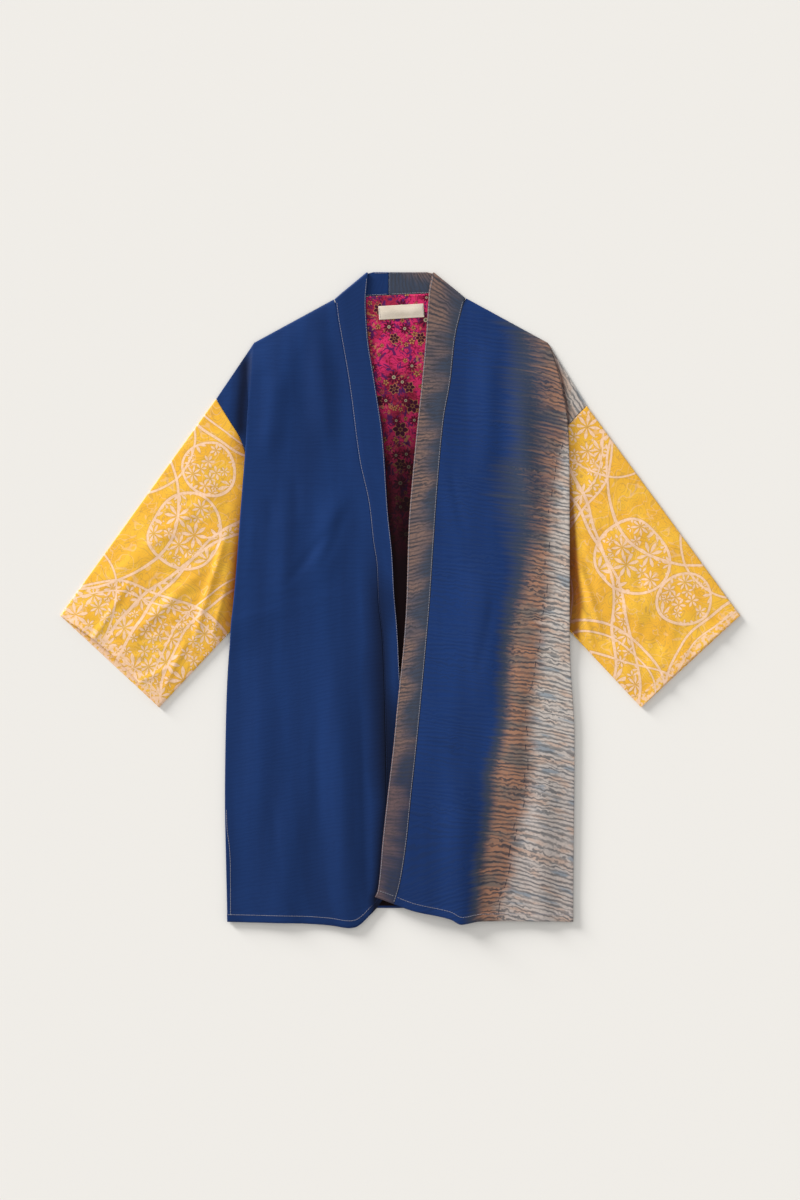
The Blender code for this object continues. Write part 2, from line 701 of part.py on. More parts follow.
def main():
    clear_scene()
    jacket = bpy.data.collections.new("kimono_jacket")
    bpy.context.scene.collection.children.link(jacket)
    build_back(jacket)
    build_label(jacket)
    for name, side in SIDES.items():
        loft("front_" + name, front_points(side), CLOTH, jacket)
        loft("neck_band_" + name, band_points(side), BAND_CLOTH, jacket)
        loft("sleeve_" + name, sleeve_points(side), CLOTH, jacket, closed=True)


main()
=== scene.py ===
"""The looks of a short kimono jacket of pieced silk, laid flat on its back and seen from straight above.

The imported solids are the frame: metres, +Z up, the neck towards +Y, the origin on the ground under
the middle. Each piece of cloth is a thin sheet on its solid's form, with its own finer creases.
"Left" and "right" are as seen from above. A side's tables give "out", the distance from the middle
line towards that side, and y. The photograph's frame is 800 by 1200 pixels of 1.35 mm.
"""

import math

import bpy
import numpy as np
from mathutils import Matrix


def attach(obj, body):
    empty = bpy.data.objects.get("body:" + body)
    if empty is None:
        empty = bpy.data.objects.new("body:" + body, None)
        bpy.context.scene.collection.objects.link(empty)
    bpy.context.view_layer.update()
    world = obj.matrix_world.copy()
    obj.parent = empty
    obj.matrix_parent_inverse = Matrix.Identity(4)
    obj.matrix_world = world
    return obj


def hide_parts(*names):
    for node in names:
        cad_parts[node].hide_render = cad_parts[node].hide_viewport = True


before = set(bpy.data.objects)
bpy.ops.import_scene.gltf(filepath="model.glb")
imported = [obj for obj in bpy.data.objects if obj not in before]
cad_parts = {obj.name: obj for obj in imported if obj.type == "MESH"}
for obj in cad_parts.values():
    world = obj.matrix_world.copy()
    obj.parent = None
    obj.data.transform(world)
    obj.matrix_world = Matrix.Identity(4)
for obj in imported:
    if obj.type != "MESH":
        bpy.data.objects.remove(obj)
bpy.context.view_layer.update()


# Back panel
# One panel of plain blue silk, cut to the neck, the sloping shoulders, the armholes and the side
# seams. It lies flat on the ground with its outer side down, and everything else lies on it.

CLOTH = 0.0009
SEAM_GAP = 0.0003
BACK_LEVEL = 0.0006
BACK_HEM_Y = -0.4158
BACK_ROWS = 230
BACK_COLUMNS = 96
RIM_STEPS = 3
TURN = 2 * math.pi
BLUE = (0.0070, 0.0265, 0.1060)
BLUE_DEEP = (0.0040, 0.0140, 0.0580)
BLUE_BRIGHT = (0.0085, 0.0340, 0.1360)
SHADE_TINT = (0.200, 0.075, 0.065)
RIB_PITCH = 0.0055
SILK_THREADS = 900


def table(columns, *rows):
    """Rows of numbers as named columns."""
    return dict(zip(columns.split(), np.array(rows, float).T))


def read(source, column, at, by="y"):
    """A column's value at the given places, on a smooth curve through the rows that never overshoots.

    Each stretch is a cubic from row to row. Its slope at a row is the harmonic mean of the slopes on
    either side, or zero where they point opposite ways."""
    order = np.argsort(source[by])
    place, value = source[by][order], source[column][order]
    step = np.diff(place)
    slope = np.diff(value) / step
    before, after = slope[:-1], slope[1:]
    alike = before * after > 0
    mean = np.where(alike, 2 * before * after / np.where(alike, before + after, 1), 0)
    tangent = np.concatenate([slope[:1], mean, slope[-1:]])
    at = np.clip(np.asarray(at, float), place[0], place[-1])
    row = np.clip(np.searchsorted(place, at) - 1, 0, len(step) - 1)
    t = (at - place[row]) / step[row]
    start = (1 + 2 * t) * (1 - t) ** 2 * value[row] + t * (1 - t) ** 2 * step[row] * tangent[row]
    end = t * t * (3 - 2 * t) * value[row + 1] + t * t * (t - 1) * step[row] * tangent[row + 1]
    return start + end


def ease(t):
    """0 to 1 with level ends: three t squared less two t cubed."""
    t = np.clip(t, 0, 1)
    return t * t * (3 - 2 * t)


def slide(start, end, share):
    """From start to end by share: the start plus the share of their difference."""
    return start + (end - start) * share


def vectors(*parts):
    """Arrays or single numbers as the parts of one array of vectors."""
    return np.stack(np.broadcast_arrays(*parts), axis=-1)


def unit(ways):
    """Vectors brought to length one: each over the root of its parts' squares."""
    return ways / np.linalg.norm(ways, axis=-1, keepdims=True)


def ripple(across, along, length, seed):
    """A smooth uneven swell between about -1 and 1: the mean of eight sine waves in random directions,
    each between 0.7 and 1.6 of the given wavelength."""
    pick = np.random.default_rng(seed)
    total = np.zeros(np.broadcast(across, along).shape)
    for angle, phase, share in pick.uniform((0, 0, 0.7), (math.pi, TURN, 1.6), (8, 3)):
        way = across * math.cos(angle) + along * math.sin(angle)
        total += np.sin(TURN * way / (length * share) + phase)
    return total / 4


def linked(name, data):
    """A new object of the given data, in the scene."""
    made = bpy.data.objects.new(name, data)
    bpy.context.scene.collection.objects.link(made)
    return made


def new_piece(name, points, faces, attributes, material):
    """A piece of quads from whole arrays, with named vectors at its points, shaded smooth."""
    mesh = bpy.data.meshes.new(name)
    mesh.vertices.add(points.size // 3)
    mesh.vertices.foreach_set("co", points.astype(np.float32).ravel())
    mesh.loops.add(faces.size)
    mesh.loops.foreach_set("vertex_index", faces.astype(np.int32).ravel())
    mesh.polygons.add(len(faces))
    mesh.polygons.foreach_set("loop_start", np.arange(0, faces.size, 4, dtype=np.int32))
    for label, values in attributes.items():
        attribute = mesh.attributes.new(label, "FLOAT_VECTOR", "POINT")
        attribute.data.foreach_set("vector", values.astype(np.float32).ravel())
    mesh.update(calc_edges=True)
    mesh.validate()
    mesh.shade_smooth()
    mesh.materials.append(material)
    return linked(name, mesh)


def grid_normals(points, tube=False):
    """Unit normals of a grid of points: the cross product of its slopes along the columns and the rows."""
    padded = np.concatenate([points[:, -1:], points, points[:, :1]], axis=1)
    along_columns = np.gradient(padded, axis=1)[:, 1:-1] if tube else np.gradient(points, axis=1)
    return unit(np.cross(along_columns, np.gradient(points, axis=0)))


def cloth_piece(name, points, thickness, material, attributes, tube=False):
    """A closed sheet on a grid of points: two layers, half the thickness to either side along the grid's
    normals, joined round each free edge by a half circle that ends where the grid ends. A tube's last
    column joins its first."""
    rows, columns = points.shape[:2]
    index = np.arange(rows * columns).reshape(rows, columns)
    if tube:
        loops = [(index[0], index[1]), (index[-1, ::-1], index[-2, ::-1])]
    else:
        edge = np.concatenate([index[0], index[1:, -1], index[-1, -2::-1], index[-2:0:-1, 0]])
        row, column = np.divmod(edge, columns)
        loops = [(edge, index[row.clip(1, rows - 2), column.clip(1, columns - 2)])]
    half = np.broadcast_to(np.asarray(thickness) / 2, (rows, columns)).reshape(-1, 1)
    middle = points.reshape(-1, 3).copy()
    rims = [(edge, unit(middle[edge] - middle[inner])) for edge, inner in loops]
    for edge, outward in rims:
        middle[edge] -= outward * half[edge]
    normals = grid_normals(middle.reshape(points.shape), tube).reshape(-1, 3)

    joined = np.hstack([index, index[:, :1]]) if tube else index
    quads = vectors(joined[:-1, :-1], joined[:-1, 1:], joined[1:, 1:], joined[1:, :-1]).reshape(-1, 4)
    faces = [quads, quads[:, ::-1] + index.size]
    layers = [middle + normals * half, middle - normals * half]
    sources = [index.ravel(), index.ravel()]
    count = 2 * index.size
    for edge, outward in rims:
        ring = edge
        for step in range(1, RIM_STEPS + 1):
            following = edge + index.size
            if step < RIM_STEPS:
                angle = math.pi * step / RIM_STEPS
                turned = normals[edge] * math.cos(angle) + outward * math.sin(angle)
                layers.append(middle[edge] + turned * half[edge])
                sources.append(edge)
                following = count + np.arange(len(edge))
                count += len(edge)
            faces.append(vectors(np.roll(ring, -1), ring, following, np.roll(following, -1)))
            ring = following
    source = np.concatenate(sources)
    placed = {label: values.reshape(-1, 3)[source] for label, values in attributes.items()}
    return new_piece(name, np.concatenate(layers), np.concatenate(faces), placed, material)


class Wire:
    """A shader node's output. Signs between wires and numbers add nodes of arithmetic. Each sign's
    function is one such node: the sum, the difference, the product or the quotient."""

    def __init__(self, socket):
        """Keeps the node's socket."""
        self.socket = socket

    def __add__(self, other):
        """This plus the other."""
        return calc("ADD", self, other)

    def __sub__(self, other):
        """This less the other."""
        return calc("SUBTRACT", self, other)

    def __rsub__(self, other):
        """The other less this."""
        return calc("SUBTRACT", other, self)

    def __mul__(self, other):
        """This times the other."""
        return calc("MULTIPLY", self, other)

    def __truediv__(self, other):
        """This over the other."""
        return calc("DIVIDE", self, other)

    def __rtruediv__(self, other):
        """The other over this."""
        return calc("DIVIDE", other, self)


def node(kind, inputs, tree=None, **settings):
    """Adds a shader node with its settings, in the tree of its inputs, which are values or wires by name
    or number. Returns its outputs as wires."""
    if tree is None:
        tree = next(value.socket.id_data for value in inputs.values() if isinstance(value, Wire))
    made = tree.nodes.new("ShaderNode" + kind)
    for setting, value in settings.items():
        setattr(made, setting, value)
    for socket, value in inputs.items():
        if isinstance(value, Wire):
            tree.links.new(value.socket, made.inputs[socket])
        else:
            made.inputs[socket].default_value = value
    return [Wire(socket) for socket in made.outputs]


def calc(operation, *values, clamp=False):
    """One step of arithmetic on values or wires, of Blender's own kinds."""
    return node("Math", dict(enumerate(values)), operation=operation, use_clamp=clamp)[0]


def vector(operation, *values):
    """One step of arithmetic on vectors, as a vector and as a number."""
    return node("VectorMath", dict(enumerate(values)), operation=operation)


def parts(place):
    """The three parts of a vector."""
    return node("SeparateXYZ", {0: place})


def greatest(most, *others):
    """The greatest of several values."""
    for other in others:
        most = calc("MAXIMUM", most, other)
    return most


def between(value, low, high):
    """0 below low to 1 above high, with smooth ends."""
    inputs = {"Value": value, "From Min": low, "From Max": high}
    return node("MapRange", inputs, interpolation_type="SMOOTHSTEP")[0]


def mix(share, first, second, how="MIX"):
    """A colour between two colours, or one colour times the other, by share."""
    first, second = ((*colour, 1) if isinstance(colour, tuple) else colour for colour in (first, second))
    return node("Mix", {0: share, 6: first, 7: second}, data_type="RGBA", blend_type=how)[2]


def noise(place, across=1, along=1, cells=1.0, detail=2.0, rough=0.5, distortion=0.0):
    """Blender's noise, about 0.5, at so many cells a metre each way."""
    stretched = vector("MULTIPLY", place, (across, along, 1))[0]
    settings = {"Scale": cells, "Detail": detail, "Roughness": rough, "Distortion": distortion}
    return node("TexNoise", {"Vector": stretched, **settings})[0]


# The kinds of a group's sockets that aren't plain numbers
SOCKET_KINDS = {"place": "Vector", "middle": "Vector", "shade": "Vector", "colour": "Color"}


def shader_group(inputs, outputs):
    """Makes one shader node group of the function below it. The function's arguments are the group's
    inputs, and what it returns are its outputs. From then on, each call of it places the group once and
    returns the group's outputs."""

    def make(build):
        """Builds the group and returns the function that places it."""
        group = bpy.data.node_groups.new(build.__name__, "ShaderNodeTree")
        for way, labels in (("INPUT", inputs), ("OUTPUT", outputs)):
            for label in labels.split():
                kind = "NodeSocket" + SOCKET_KINDS.get(label, "Float")
                group.interface.new_socket(label, in_out=way, socket_type=kind)
        start = group.nodes.new("NodeGroupInput").outputs
        end = group.nodes.new("NodeGroupOutput").inputs
        found = build(*(Wire(start[label]) for label in inputs.split()))
        for label, wire in zip(outputs.split(), found):
            group.links.new(wire.socket, end[label])
        return lambda *values: node("Group", dict(enumerate(values)), node_tree=group)

    return make


@shader_group("place pitch", "stripe strength")
def cross_stripes(place, pitch):
    """Wavy cross stripes of silk dyed over gathers: a sine of the place along the cloth over the pitch,
    whose phase wanders with two sizes of noise, the finer one stronger in patches that look knotted, and
    whose lines swell, thin and fade."""
    wander = noise(place, 9, 26) * 3.4 - 1.7
    knotted = between(noise(place, 18, 26, detail=1), 0.48, 0.62)
    tangle = (noise(place, 100, 130, detail=3) - 0.5) * (knotted * 1.5 + 0.9)
    wave = calc("SINE", (parts(place)[1] / pitch + wander + tangle) * TURN)
    swell = noise(place, 60, 260, detail=4, rough=0.6) * 3.2 - 1.6
    strength = between(noise(place, 26, 130, rough=0.6), 0.30, 0.62)
    return between(wave + swell, -0.45, 0.75), strength


@shader_group("place threads", "height")
def plain_weave(place, threads):
    """The height of a plain weave: the product of one sine across and one along the cloth, with slubs,
    which are short thick stretches of the cross threads."""
    over, under = (calc("SINE", part * (threads * TURN)) for part in parts(place)[:2])
    return [over * under * 0.35 + between(noise(place, 40, 900, detail=1), 0.52, 0.72)]


@shader_group("colour shade", "colour")
def deep_shade(colour, shade):
    """Silk in the deep shade of a fold or under a lapping edge: the colour times a dark tint, by share."""
    return [mix(parts(shade)[0], colour, SHADE_TINT, how="MULTIPLY")]


def silk(paint, *names, roughness=0.5, sheen=0.02, shine=0.10):
    """A cloth material. The paint function gives its colour and its height from the named attributes, the
    first of which holds the places on the cloth. A weave lies under the height, and the deep shade that
    the attribute "shade" holds lies over the colour."""
    material = bpy.data.materials.new(paint.__name__)
    material.use_nodes = True
    tree = material.node_tree
    *given, shade = (node("Attribute", {}, tree, attribute_name=name)[1] for name in (*names, "shade"))
    colour, height = paint(*given)
    weave = plain_weave(given[0], SILK_THREADS)[0]
    fine = node("Bump", {"Height": weave, "Strength": 0.25, "Distance": 0.00012})[0]
    coarse = node("Bump", {"Height": height, "Strength": 0.35, "Distance": 0.00020, "Normal": fine})[0]
    shader = tree.nodes["Principled BSDF"].inputs
    tree.links.new(deep_shade(colour, shade)[0].socket, shader["Base Color"])
    tree.links.new(coarse.socket, shader["Normal"])
    shader["Roughness"].default_value = roughness
    shader["Specular IOR Level"].default_value = shine
    shader["Sheen Weight"].default_value = sheen
    shader["Sheen Roughness"].default_value = 0.4
    return material


def blue_ground(place, dark=BLUE, bright=BLUE_BRIGHT, rib_share=0.11):
    """The blue's own colour: cloudy dye in long faint streaks up and down the cloth, with the cross ribs
    of the gathers a little darker. Returns the colour and the ribs."""
    ribs, strength = cross_stripes(place, RIB_PITCH)
    colour = mix(between(noise(place, 22, 3, detail=3), 0.32, 0.68), dark, bright)
    return mix(ribs * strength * rib_share, colour, BLUE_DEEP), ribs


def blue_silk(cloth):
    """Plain blue silk."""
    colour, ribs = blue_ground(cloth)
    return colour, ribs * 0.5


BLUE_SILK = silk(blue_silk, "cloth")

# The armhole and the side seam of each side, from the top of the armhole to the hem
LEFT_SEAM = table(
    "y out",
    (0.2714, 0.2481), (0.244, 0.2312), (0.216, 0.2146), (0.19, 0.2066), (0.15, 0.203), (0.1, 0.201),
    (0.04, 0.2), (-0.015, 0.2027), (-0.029, 0.2142), (-0.044, 0.2286), (-0.162, 0.2352), (-0.27, 0.2366),
    (-0.351, 0.2352), (-0.4343, 0.2332),
)
RIGHT_SEAM = table(
    "y out",
    (0.262, 0.2514), (0.2444, 0.234), (0.23, 0.2218), (0.205, 0.211), (0.15, 0.203),
    (0.06, 0.2), (-0.015, 0.2027), (-0.029, 0.2142), (-0.044, 0.2282), (-0.0941, 0.2298),
    (-0.1871, 0.235), (-0.4343, 0.2332),
)

# The upper edge of the back, from the left armhole over the shoulders and the neck to the right one
BACK_TOP = table(
    "x y",
    (-0.2481, 0.2714), (-0.197, 0.3471), (-0.0866, 0.402), (-0.068, 0.4072), (-0.042, 0.4096),
    (-0.0152, 0.4109), (0.01, 0.412), (0.042, 0.4133), (0.068, 0.4093), (0.0866, 0.4024),
    (0.1988, 0.3471), (0.2514, 0.262),
)


def panel_points(rows, columns, left_seam, right_seam, hem_y, top, level):
    """A flat panel between two side edges, from the hem to its upper edge. Each column goes up in equal
    steps of y, while x slides between the two side edges' places at the same share of the height."""
    up = np.linspace(0, 1, rows)[:, None]
    across = np.linspace(0, 1, columns)
    left_x = -read(left_seam, "out", slide(hem_y, top["y"][0], up))
    right_x = read(right_seam, "out", slide(hem_y, top["y"][-1], up))
    x = slide(left_x, right_x, across)
    return vectors(x, slide(hem_y, np.interp(x[-1], top["x"], top["y"]), up), level)


back_points = panel_points(BACK_ROWS, BACK_COLUMNS, LEFT_SEAM, RIGHT_SEAM, BACK_HEM_Y, BACK_TOP, BACK_LEVEL)
back_cloth = cloth_piece("back_cloth", back_points, CLOTH, BLUE_SILK, {"cloth": back_points})
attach(back_cloth, "root")
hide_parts("back_panel")


# Back lining
# A light crimson silk with a printed pattern of small flowers and curls, cut like the back panel and
# sewn inside it. It shows in the neck opening, where it lies in low soft wrinkles.

LINING_LEVEL = 0.0021
LINING_HEM_Y = -0.4125
LINING_ROWS = 210
LINING_COLUMNS = 104
NECK_SEAM_Y = 0.4098
WRINKLE_HEIGHT = 0.0010
WRINKLE_LENGTH = 0.055
WRINKLE_STRETCH = 1.8
WRINKLE_RISE = 0.018
WRINKLE_SEED = 11
BAND_SHELTER = 0.002
CRIMSON = (0.570, 0.025, 0.120)
CRIMSON_RED = (0.300, 0.016, 0.050)
DEEP_CRIMSON = (0.150, 0.006, 0.026)
MAROON = (0.052, 0.005, 0.024)
PLUM = (0.045, 0.012, 0.090)
OCHRE = (0.400, 0.200, 0.070)
DULL_OCHRE = (0.200, 0.085, 0.040)
LEAF_CREAM = (0.400, 0.340, 0.220)
LEAF_GREEN = (0.100, 0.100, 0.070)
# Painted shade down inside the jacket: below the chest the lining fades towards this near black, between the
# heights that follow
LINING_PAINTED_SHADE = (0.0050, 0.0012, 0.0022)
LINING_BRIGHT_Y = 0.345
LINING_DARK_Y = 0.160
LINING_TAIL_FROM_Y = 0.300
LINING_TAIL_TO_Y = 0.030
LINING_TAIL = 0.20

# Its flowers: the cell that each stands in, its radius, the petals' half breadth and number, the share
# of the cells that stay empty, and the colours of outline, petals, ring and eye
LINING_FLOWERS = (
    (0.0110, 0.0040, 0.0011, 5, 0.72, DEEP_CRIMSON, OCHRE, MAROON, DULL_OCHRE),
    (0.0350, 0.0100, 0.0032, 6, 0.50, OCHRE, MAROON, DULL_OCHRE, MAROON),
    (0.0240, 0.0088, 0.0011, 9, 0.45, DEEP_CRIMSON, MAROON, LEAF_CREAM, LEAF_GREEN),
)
OUTLINE = 0.0007

# The free edges of the neck band's two halves, between which the lining shows
LEFT_BAND_EDGE = table(
    "y out height",
    (0.4425, 0.0449, 0.004), (0.4104, 0.0462, 0.0043), (0.3591, 0.0438, 0.0047), (0.2943, 0.0341, 0.0052),
    (0.216, 0.0229, 0.0051), (0.1175, 0.0165, 0.0047), (0.0594, 0.0106, 0.0044), (0.0149, 0.0084, 0.0043),
    (-0.0414, 0.0038, 0.0042), (-0.0972, 0.001, 0.0041), (-0.25, -0.008, 0.0041), (-0.4, -0.012, 0.0041),
)
RIGHT_BAND_EDGE = table(
    "y out height",
    (0.4425, 0.0449, 0.004), (0.4142, 0.0387, 0.0043), (0.3557, 0.0345, 0.0048), (0.2867, 0.0283, 0.0052),
    (0.239, 0.0232, 0.0053), (0.1663, 0.0163, 0.0056), (0.0973, 0.0111, 0.006), (0.0, 0.0083, 0.0072),
    (-0.054, 0.0049, 0.0088), (-0.1422, -0.0041, 0.011), (-0.1917, -0.0088, 0.0118), (-0.27, -0.0179, 0.0123),
    (-0.324, -0.0238, 0.0122), (-0.3911, -0.0303, 0.0117), (-0.4001, -0.0341, 0.0115),
)

# The lining's side edges, and its upper edge
LINING_SIDE = table("y out", (0.335, 0.188), (-0.04, 0.188), (-0.09, 0.218), (-0.4125, 0.218))
LINING_TOP = table(
    "x y",
    (-0.188, 0.335), (-0.084, 0.393), (-0.042, 0.4099), (-0.0152, 0.4112), (0.01, 0.4123), (0.042, 0.4135),
    (0.084, 0.393), (0.188, 0.335),
)


@shader_group("place cell radius half_breadth petals empty", "depth from_middle present")
def blossoms(place, cell, radius, half_breadth, petals, empty):
    """Small flowers scattered one to a cell. The depth into a petal is its half breadth, which swells as a
    sine of the share of the way out to its tip, to the power 1.5, less the distance from its own axis.
    The distance from the middle is counted in the flower's own size, and a share of the cells is empty."""
    spread = vector("MULTIPLY", place, 1 / cell)[0]
    settings = {"Vector": spread, "Scale": 1.0, "Randomness": 0.8}
    colour, middle = node("TexVoronoi", settings, voronoi_dimensions="2D")[1:3]
    turn_chance, size_chance, chance = node("SeparateColor", {0: colour})
    offset = vector("MULTIPLY", vector("SUBTRACT", spread, middle)[0], cell)[0]
    reach = vector("LENGTH", offset)[1]
    x, y = parts(offset)[:2]
    turn = calc("ARCTAN2", y, x) / TURN * petals + turn_chance * 7.0
    aside = calc("PINGPONG", turn, 0.5) * (TURN / petals) * reach
    size = size_chance * 0.6 + 0.65
    tip = radius * size
    along = calc("POWER", calc("DIVIDE", reach, tip, clamp=True), 1.5)
    breadth = calc("SINE", along * math.pi) * (half_breadth * size)
    present = between(chance, empty, empty + 0.01)
    return calc("MINIMUM", breadth - aside, tip - reach), reach / size, present


@shader_group("place size levels share", "curl")
def curls(place, size, levels, share):
    """Thin curling lines: the places where a swirling noise crosses any of a few even levels."""
    swirl = noise(place, cells=1 / size, detail=1, distortion=1.6)
    return [between(share - calc("PINGPONG", swirl * levels, 0.5), -0.04, 0.04)]


def lining_silk(cloth):
    """Crimson silk with a small print: leaf blotches in plum, dark flowers with cream rings, ochre flowers
    with dark middles, and curls in dark red, plum, maroon and ochre. Below the chest, painted shade darkens
    it towards a near black, standing in for the shade down inside the jacket."""
    patch = noise(cloth, 20, 20, distortion=0.8)
    blotch = between(noise(cloth, 90, 55, distortion=0.8), 0.59, 0.64)
    strokes = curls(cloth, 0.022, 3.5, 0.105)[0] * between(noise(cloth, 60, 60, detail=1), 0.43, 0.52)
    fine = curls(cloth, 0.010, 3.0, 0.110)[0] * between(noise(cloth, 45, 45, detail=1), 0.46, 0.56)
    gold = curls(cloth, 0.012, 3.0, 0.100)[0] * between(noise(cloth, 36, 36, detail=1), 0.50, 0.58)
    colour = mix(between(patch, 0.38, 0.56), CRIMSON_RED, CRIMSON)
    for share, tone in (
        (curls(cloth, 0.016, 4.0, 0.120)[0] * 0.75, DEEP_CRIMSON),
        (strokes * 0.85, PLUM),
        (blotch * 0.85, PLUM),
        (fine * 0.75, MAROON),
        (gold * 0.75, OCHRE),
    ):
        colour = mix(share, colour, tone)
    for *flower, outline, petal, ring, eye in LINING_FLOWERS:
        depth, from_middle, present = blossoms(cloth, *flower)
        for inside, tone in (
            (depth + OUTLINE, outline),
            (depth, petal),
            (flower[1] * 0.30 - from_middle, ring),
            (flower[1] * 0.18 - from_middle, eye),
        ):
            colour = mix(between(inside, 0.0, 0.0005) * present, colour, tone)
    # Painted shade: the colour fades towards a near black down inside the jacket
    y = parts(cloth)[1]
    bright = between(y, LINING_DARK_Y, LINING_BRIGHT_Y) * (1 - LINING_TAIL)
    tail = between(y, LINING_TAIL_TO_Y, LINING_TAIL_FROM_Y) * LINING_TAIL
    return mix(bright + tail, LINING_PAINTED_SHADE, colour), patch


def lining_lift(x, y):
    """How high the lining's wrinkles stand: an uneven swell, level at the bands that lie over its edges
    and at the seam behind the neck."""
    past_left = x + read(LEFT_BAND_EDGE, "out", y)
    past_right = read(RIGHT_BAND_EDGE, "out", y) - x
    from_band = np.minimum(past_left, past_right) - BAND_SHELTER
    share = ease(from_band / WRINKLE_RISE) * ease((NECK_SEAM_Y - y) / WRINKLE_RISE)
    return WRINKLE_HEIGHT * share * (1 + ripple(x * WRINKLE_STRETCH, y, WRINKLE_LENGTH, WRINKLE_SEED))


LINING_SILK = silk(lining_silk, "cloth", sheen=0.0, shine=0.06)
lining_points = panel_points(
    LINING_ROWS, LINING_COLUMNS, LINING_SIDE, LINING_SIDE, LINING_HEM_Y, LINING_TOP, LINING_LEVEL
)
lining_points[..., 2] += lining_lift(lining_points[..., 0], lining_points[..., 1])
lining_attributes = {"cloth": lining_points * (1, 1, 0)}
lining_cloth = cloth_piece("lining_cloth", lining_points, CLOTH, LINING_SILK, lining_attributes)
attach(lining_cloth, "root")
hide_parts("back_lining")


# Neck label
# A narrow woven tape, folded under at its ends and sewn to the lining below the back of the neck.
# Its face is left bare.

LABEL_CLOTH = 0.0006
LABEL_MIDDLE = (0.0015, 0.3889)
LABEL_WIDTH = 0.0610
LABEL_DEPTH = 0.0184
LABEL_COLUMNS = 60
LABEL_ROWS = 20
LABEL_SLANT = math.radians(3.5)
LABEL_BOW = 0.0008
TWILL_TURNS = 5200
CREAM = (0.700, 0.620, 0.520)
CREAM_SHADE = (0.560, 0.480, 0.380)


def label_tape(cloth):
    """Cream tape woven in fine twill: diagonal lines, with faint bands and a little soiling."""
    across, along = parts(cloth)[:2]
    twill = calc("SINE", (across + along) * TWILL_TURNS)
    colour = mix(between(noise(cloth, 40, 60), 0.40, 0.90), CREAM, CREAM_SHADE)
    return mix(twill * 0.1 + 0.1, colour, CREAM_SHADE), twill


LABEL_TAPE = silk(label_tape, "cloth", roughness=0.7, sheen=0.1)
across, up = np.meshgrid(np.linspace(-0.5, 0.5, LABEL_COLUMNS), np.linspace(-0.5, 0.5, LABEL_ROWS))
label_place = vectors(across * LABEL_WIDTH, up * LABEL_DEPTH, 0)
slanted = np.exp(1j * LABEL_SLANT) * (label_place[..., 0] + 1j * label_place[..., 1])
label_x, label_y = LABEL_MIDDLE[0] + slanted.real, LABEL_MIDDLE[1] + slanted.imag
label_bow = LABEL_BOW * (1 - (2 * across) ** 4) * np.cos(np.pi * up) ** 2
label_level = LINING_LEVEL + CLOTH / 2 + SEAM_GAP + LABEL_CLOTH / 2
label_points = vectors(label_x, label_y, label_level + lining_lift(label_x, label_y) + label_bow)
neck_label = cloth_piece("neck_label", label_points, LABEL_CLOTH, LABEL_TAPE, {"cloth": label_place})
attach(neck_label, "root")
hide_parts("label")


# Left front and right front
# Each front is one panel of silk with its part of the dropped shoulder. It is sewn to the neck band,
# lies over the lining, rolls over its outer edge, and comes back to the armhole and the side seam.
# The left one is plain blue. The right one is shaded from blue through brown orange to pale grey.

FRONT_TOP_Y = 0.3471
FRONT_LOW_Y = -0.4340
EDGE_LEVEL = 0.0021
FOLD_RADIUS = 0.0013
ROOM = 0.8
SHORTEST_STRAIGHT = 0.0004
SHOULDER_ROLL = 0.020
CORNER_SHARE = 0.015
SHOULDER_CORNER_OUT = 0.0005
SHOULDER_CORNER_DOWN = 0.0003
SHOULDER_TUCK = 0.00125
SHOULDER_TUCK_REACH = 0.030
SHOULDER_TUCK_START = 0.0045
EDGE_FALL_REACH = 0.055
EDGE_FALL_FROM = -0.040
EDGE_FALL_FADE = 0.050
SEAM_CROWDING = 1.25
HEM_REACH = 0.060
HEM_DEPTH = 0.010
HEM_STEP = 0.0018
HEM_EXTRA = 0.0004
FOLD_END = 0.35
FOLD_EDGE = 0.16
FRONT_ROWS = 330
FRONT_COLUMNS = 84
ARC_STEPS = 8
STRAIGHT_STEPS = 7
SOFT_RUN = 0.006
CAP_STEPS = 20
SWELL_HEIGHT = 0.0007
SWELL_LENGTH = 0.090
SWELL_STRETCH = 0.5
LOWEST_FRONT = 0.0036
SOFT_FLOOR = 0.0003

# The outer edge of each front: where its top layer starts to turn down (lip), how far out the
# turn ends (run, below zero where it tucks back under), the heights of the top layer and of the
# edge that it comes down to, and the place on the seam that the same row of cloth reaches
LEFT_EDGE = table(
    "y lip run top level seam_y",
    (0.3471, 0.197, 0.014, 0.0021, 0.0021, 0.2714), (0.335, 0.1985, 0.011, 0.0042, 0.0028, 0.264),
    (0.3, 0.2005, 0.006, 0.0082, 0.0036, 0.25), (0.26, 0.204, 0.0, 0.0091, 0.0036, 0.233),
    (0.2041, 0.2071, -0.009, 0.0091, 0.0036, 0.2), (0.1148, 0.214, -0.016, 0.009, 0.0036, 0.1148),
    (0.0324, 0.22, -0.0215, 0.0089, 0.0036, 0.0324), (-0.015, 0.2245, -0.0245, 0.0089, 0.0036, -0.015),
    (-0.0285, 0.2262, -0.0125, 0.0092, 0.0032, -0.029), (-0.043, 0.2272, -0.001, 0.0086, 0.0021, -0.044),
    (-0.09, 0.2305, 0.0, 0.007, 0.0021, -0.09), (-0.162, 0.2342, 0.0, 0.0066, 0.0021, -0.162),
    (-0.27, 0.2356, 0.0, 0.0064, 0.0021, -0.27), (-0.351, 0.2342, 0.0, 0.006, 0.0021, -0.351),
    (-0.434, 0.2322, 0.0, 0.005, 0.0021, -0.434),
)
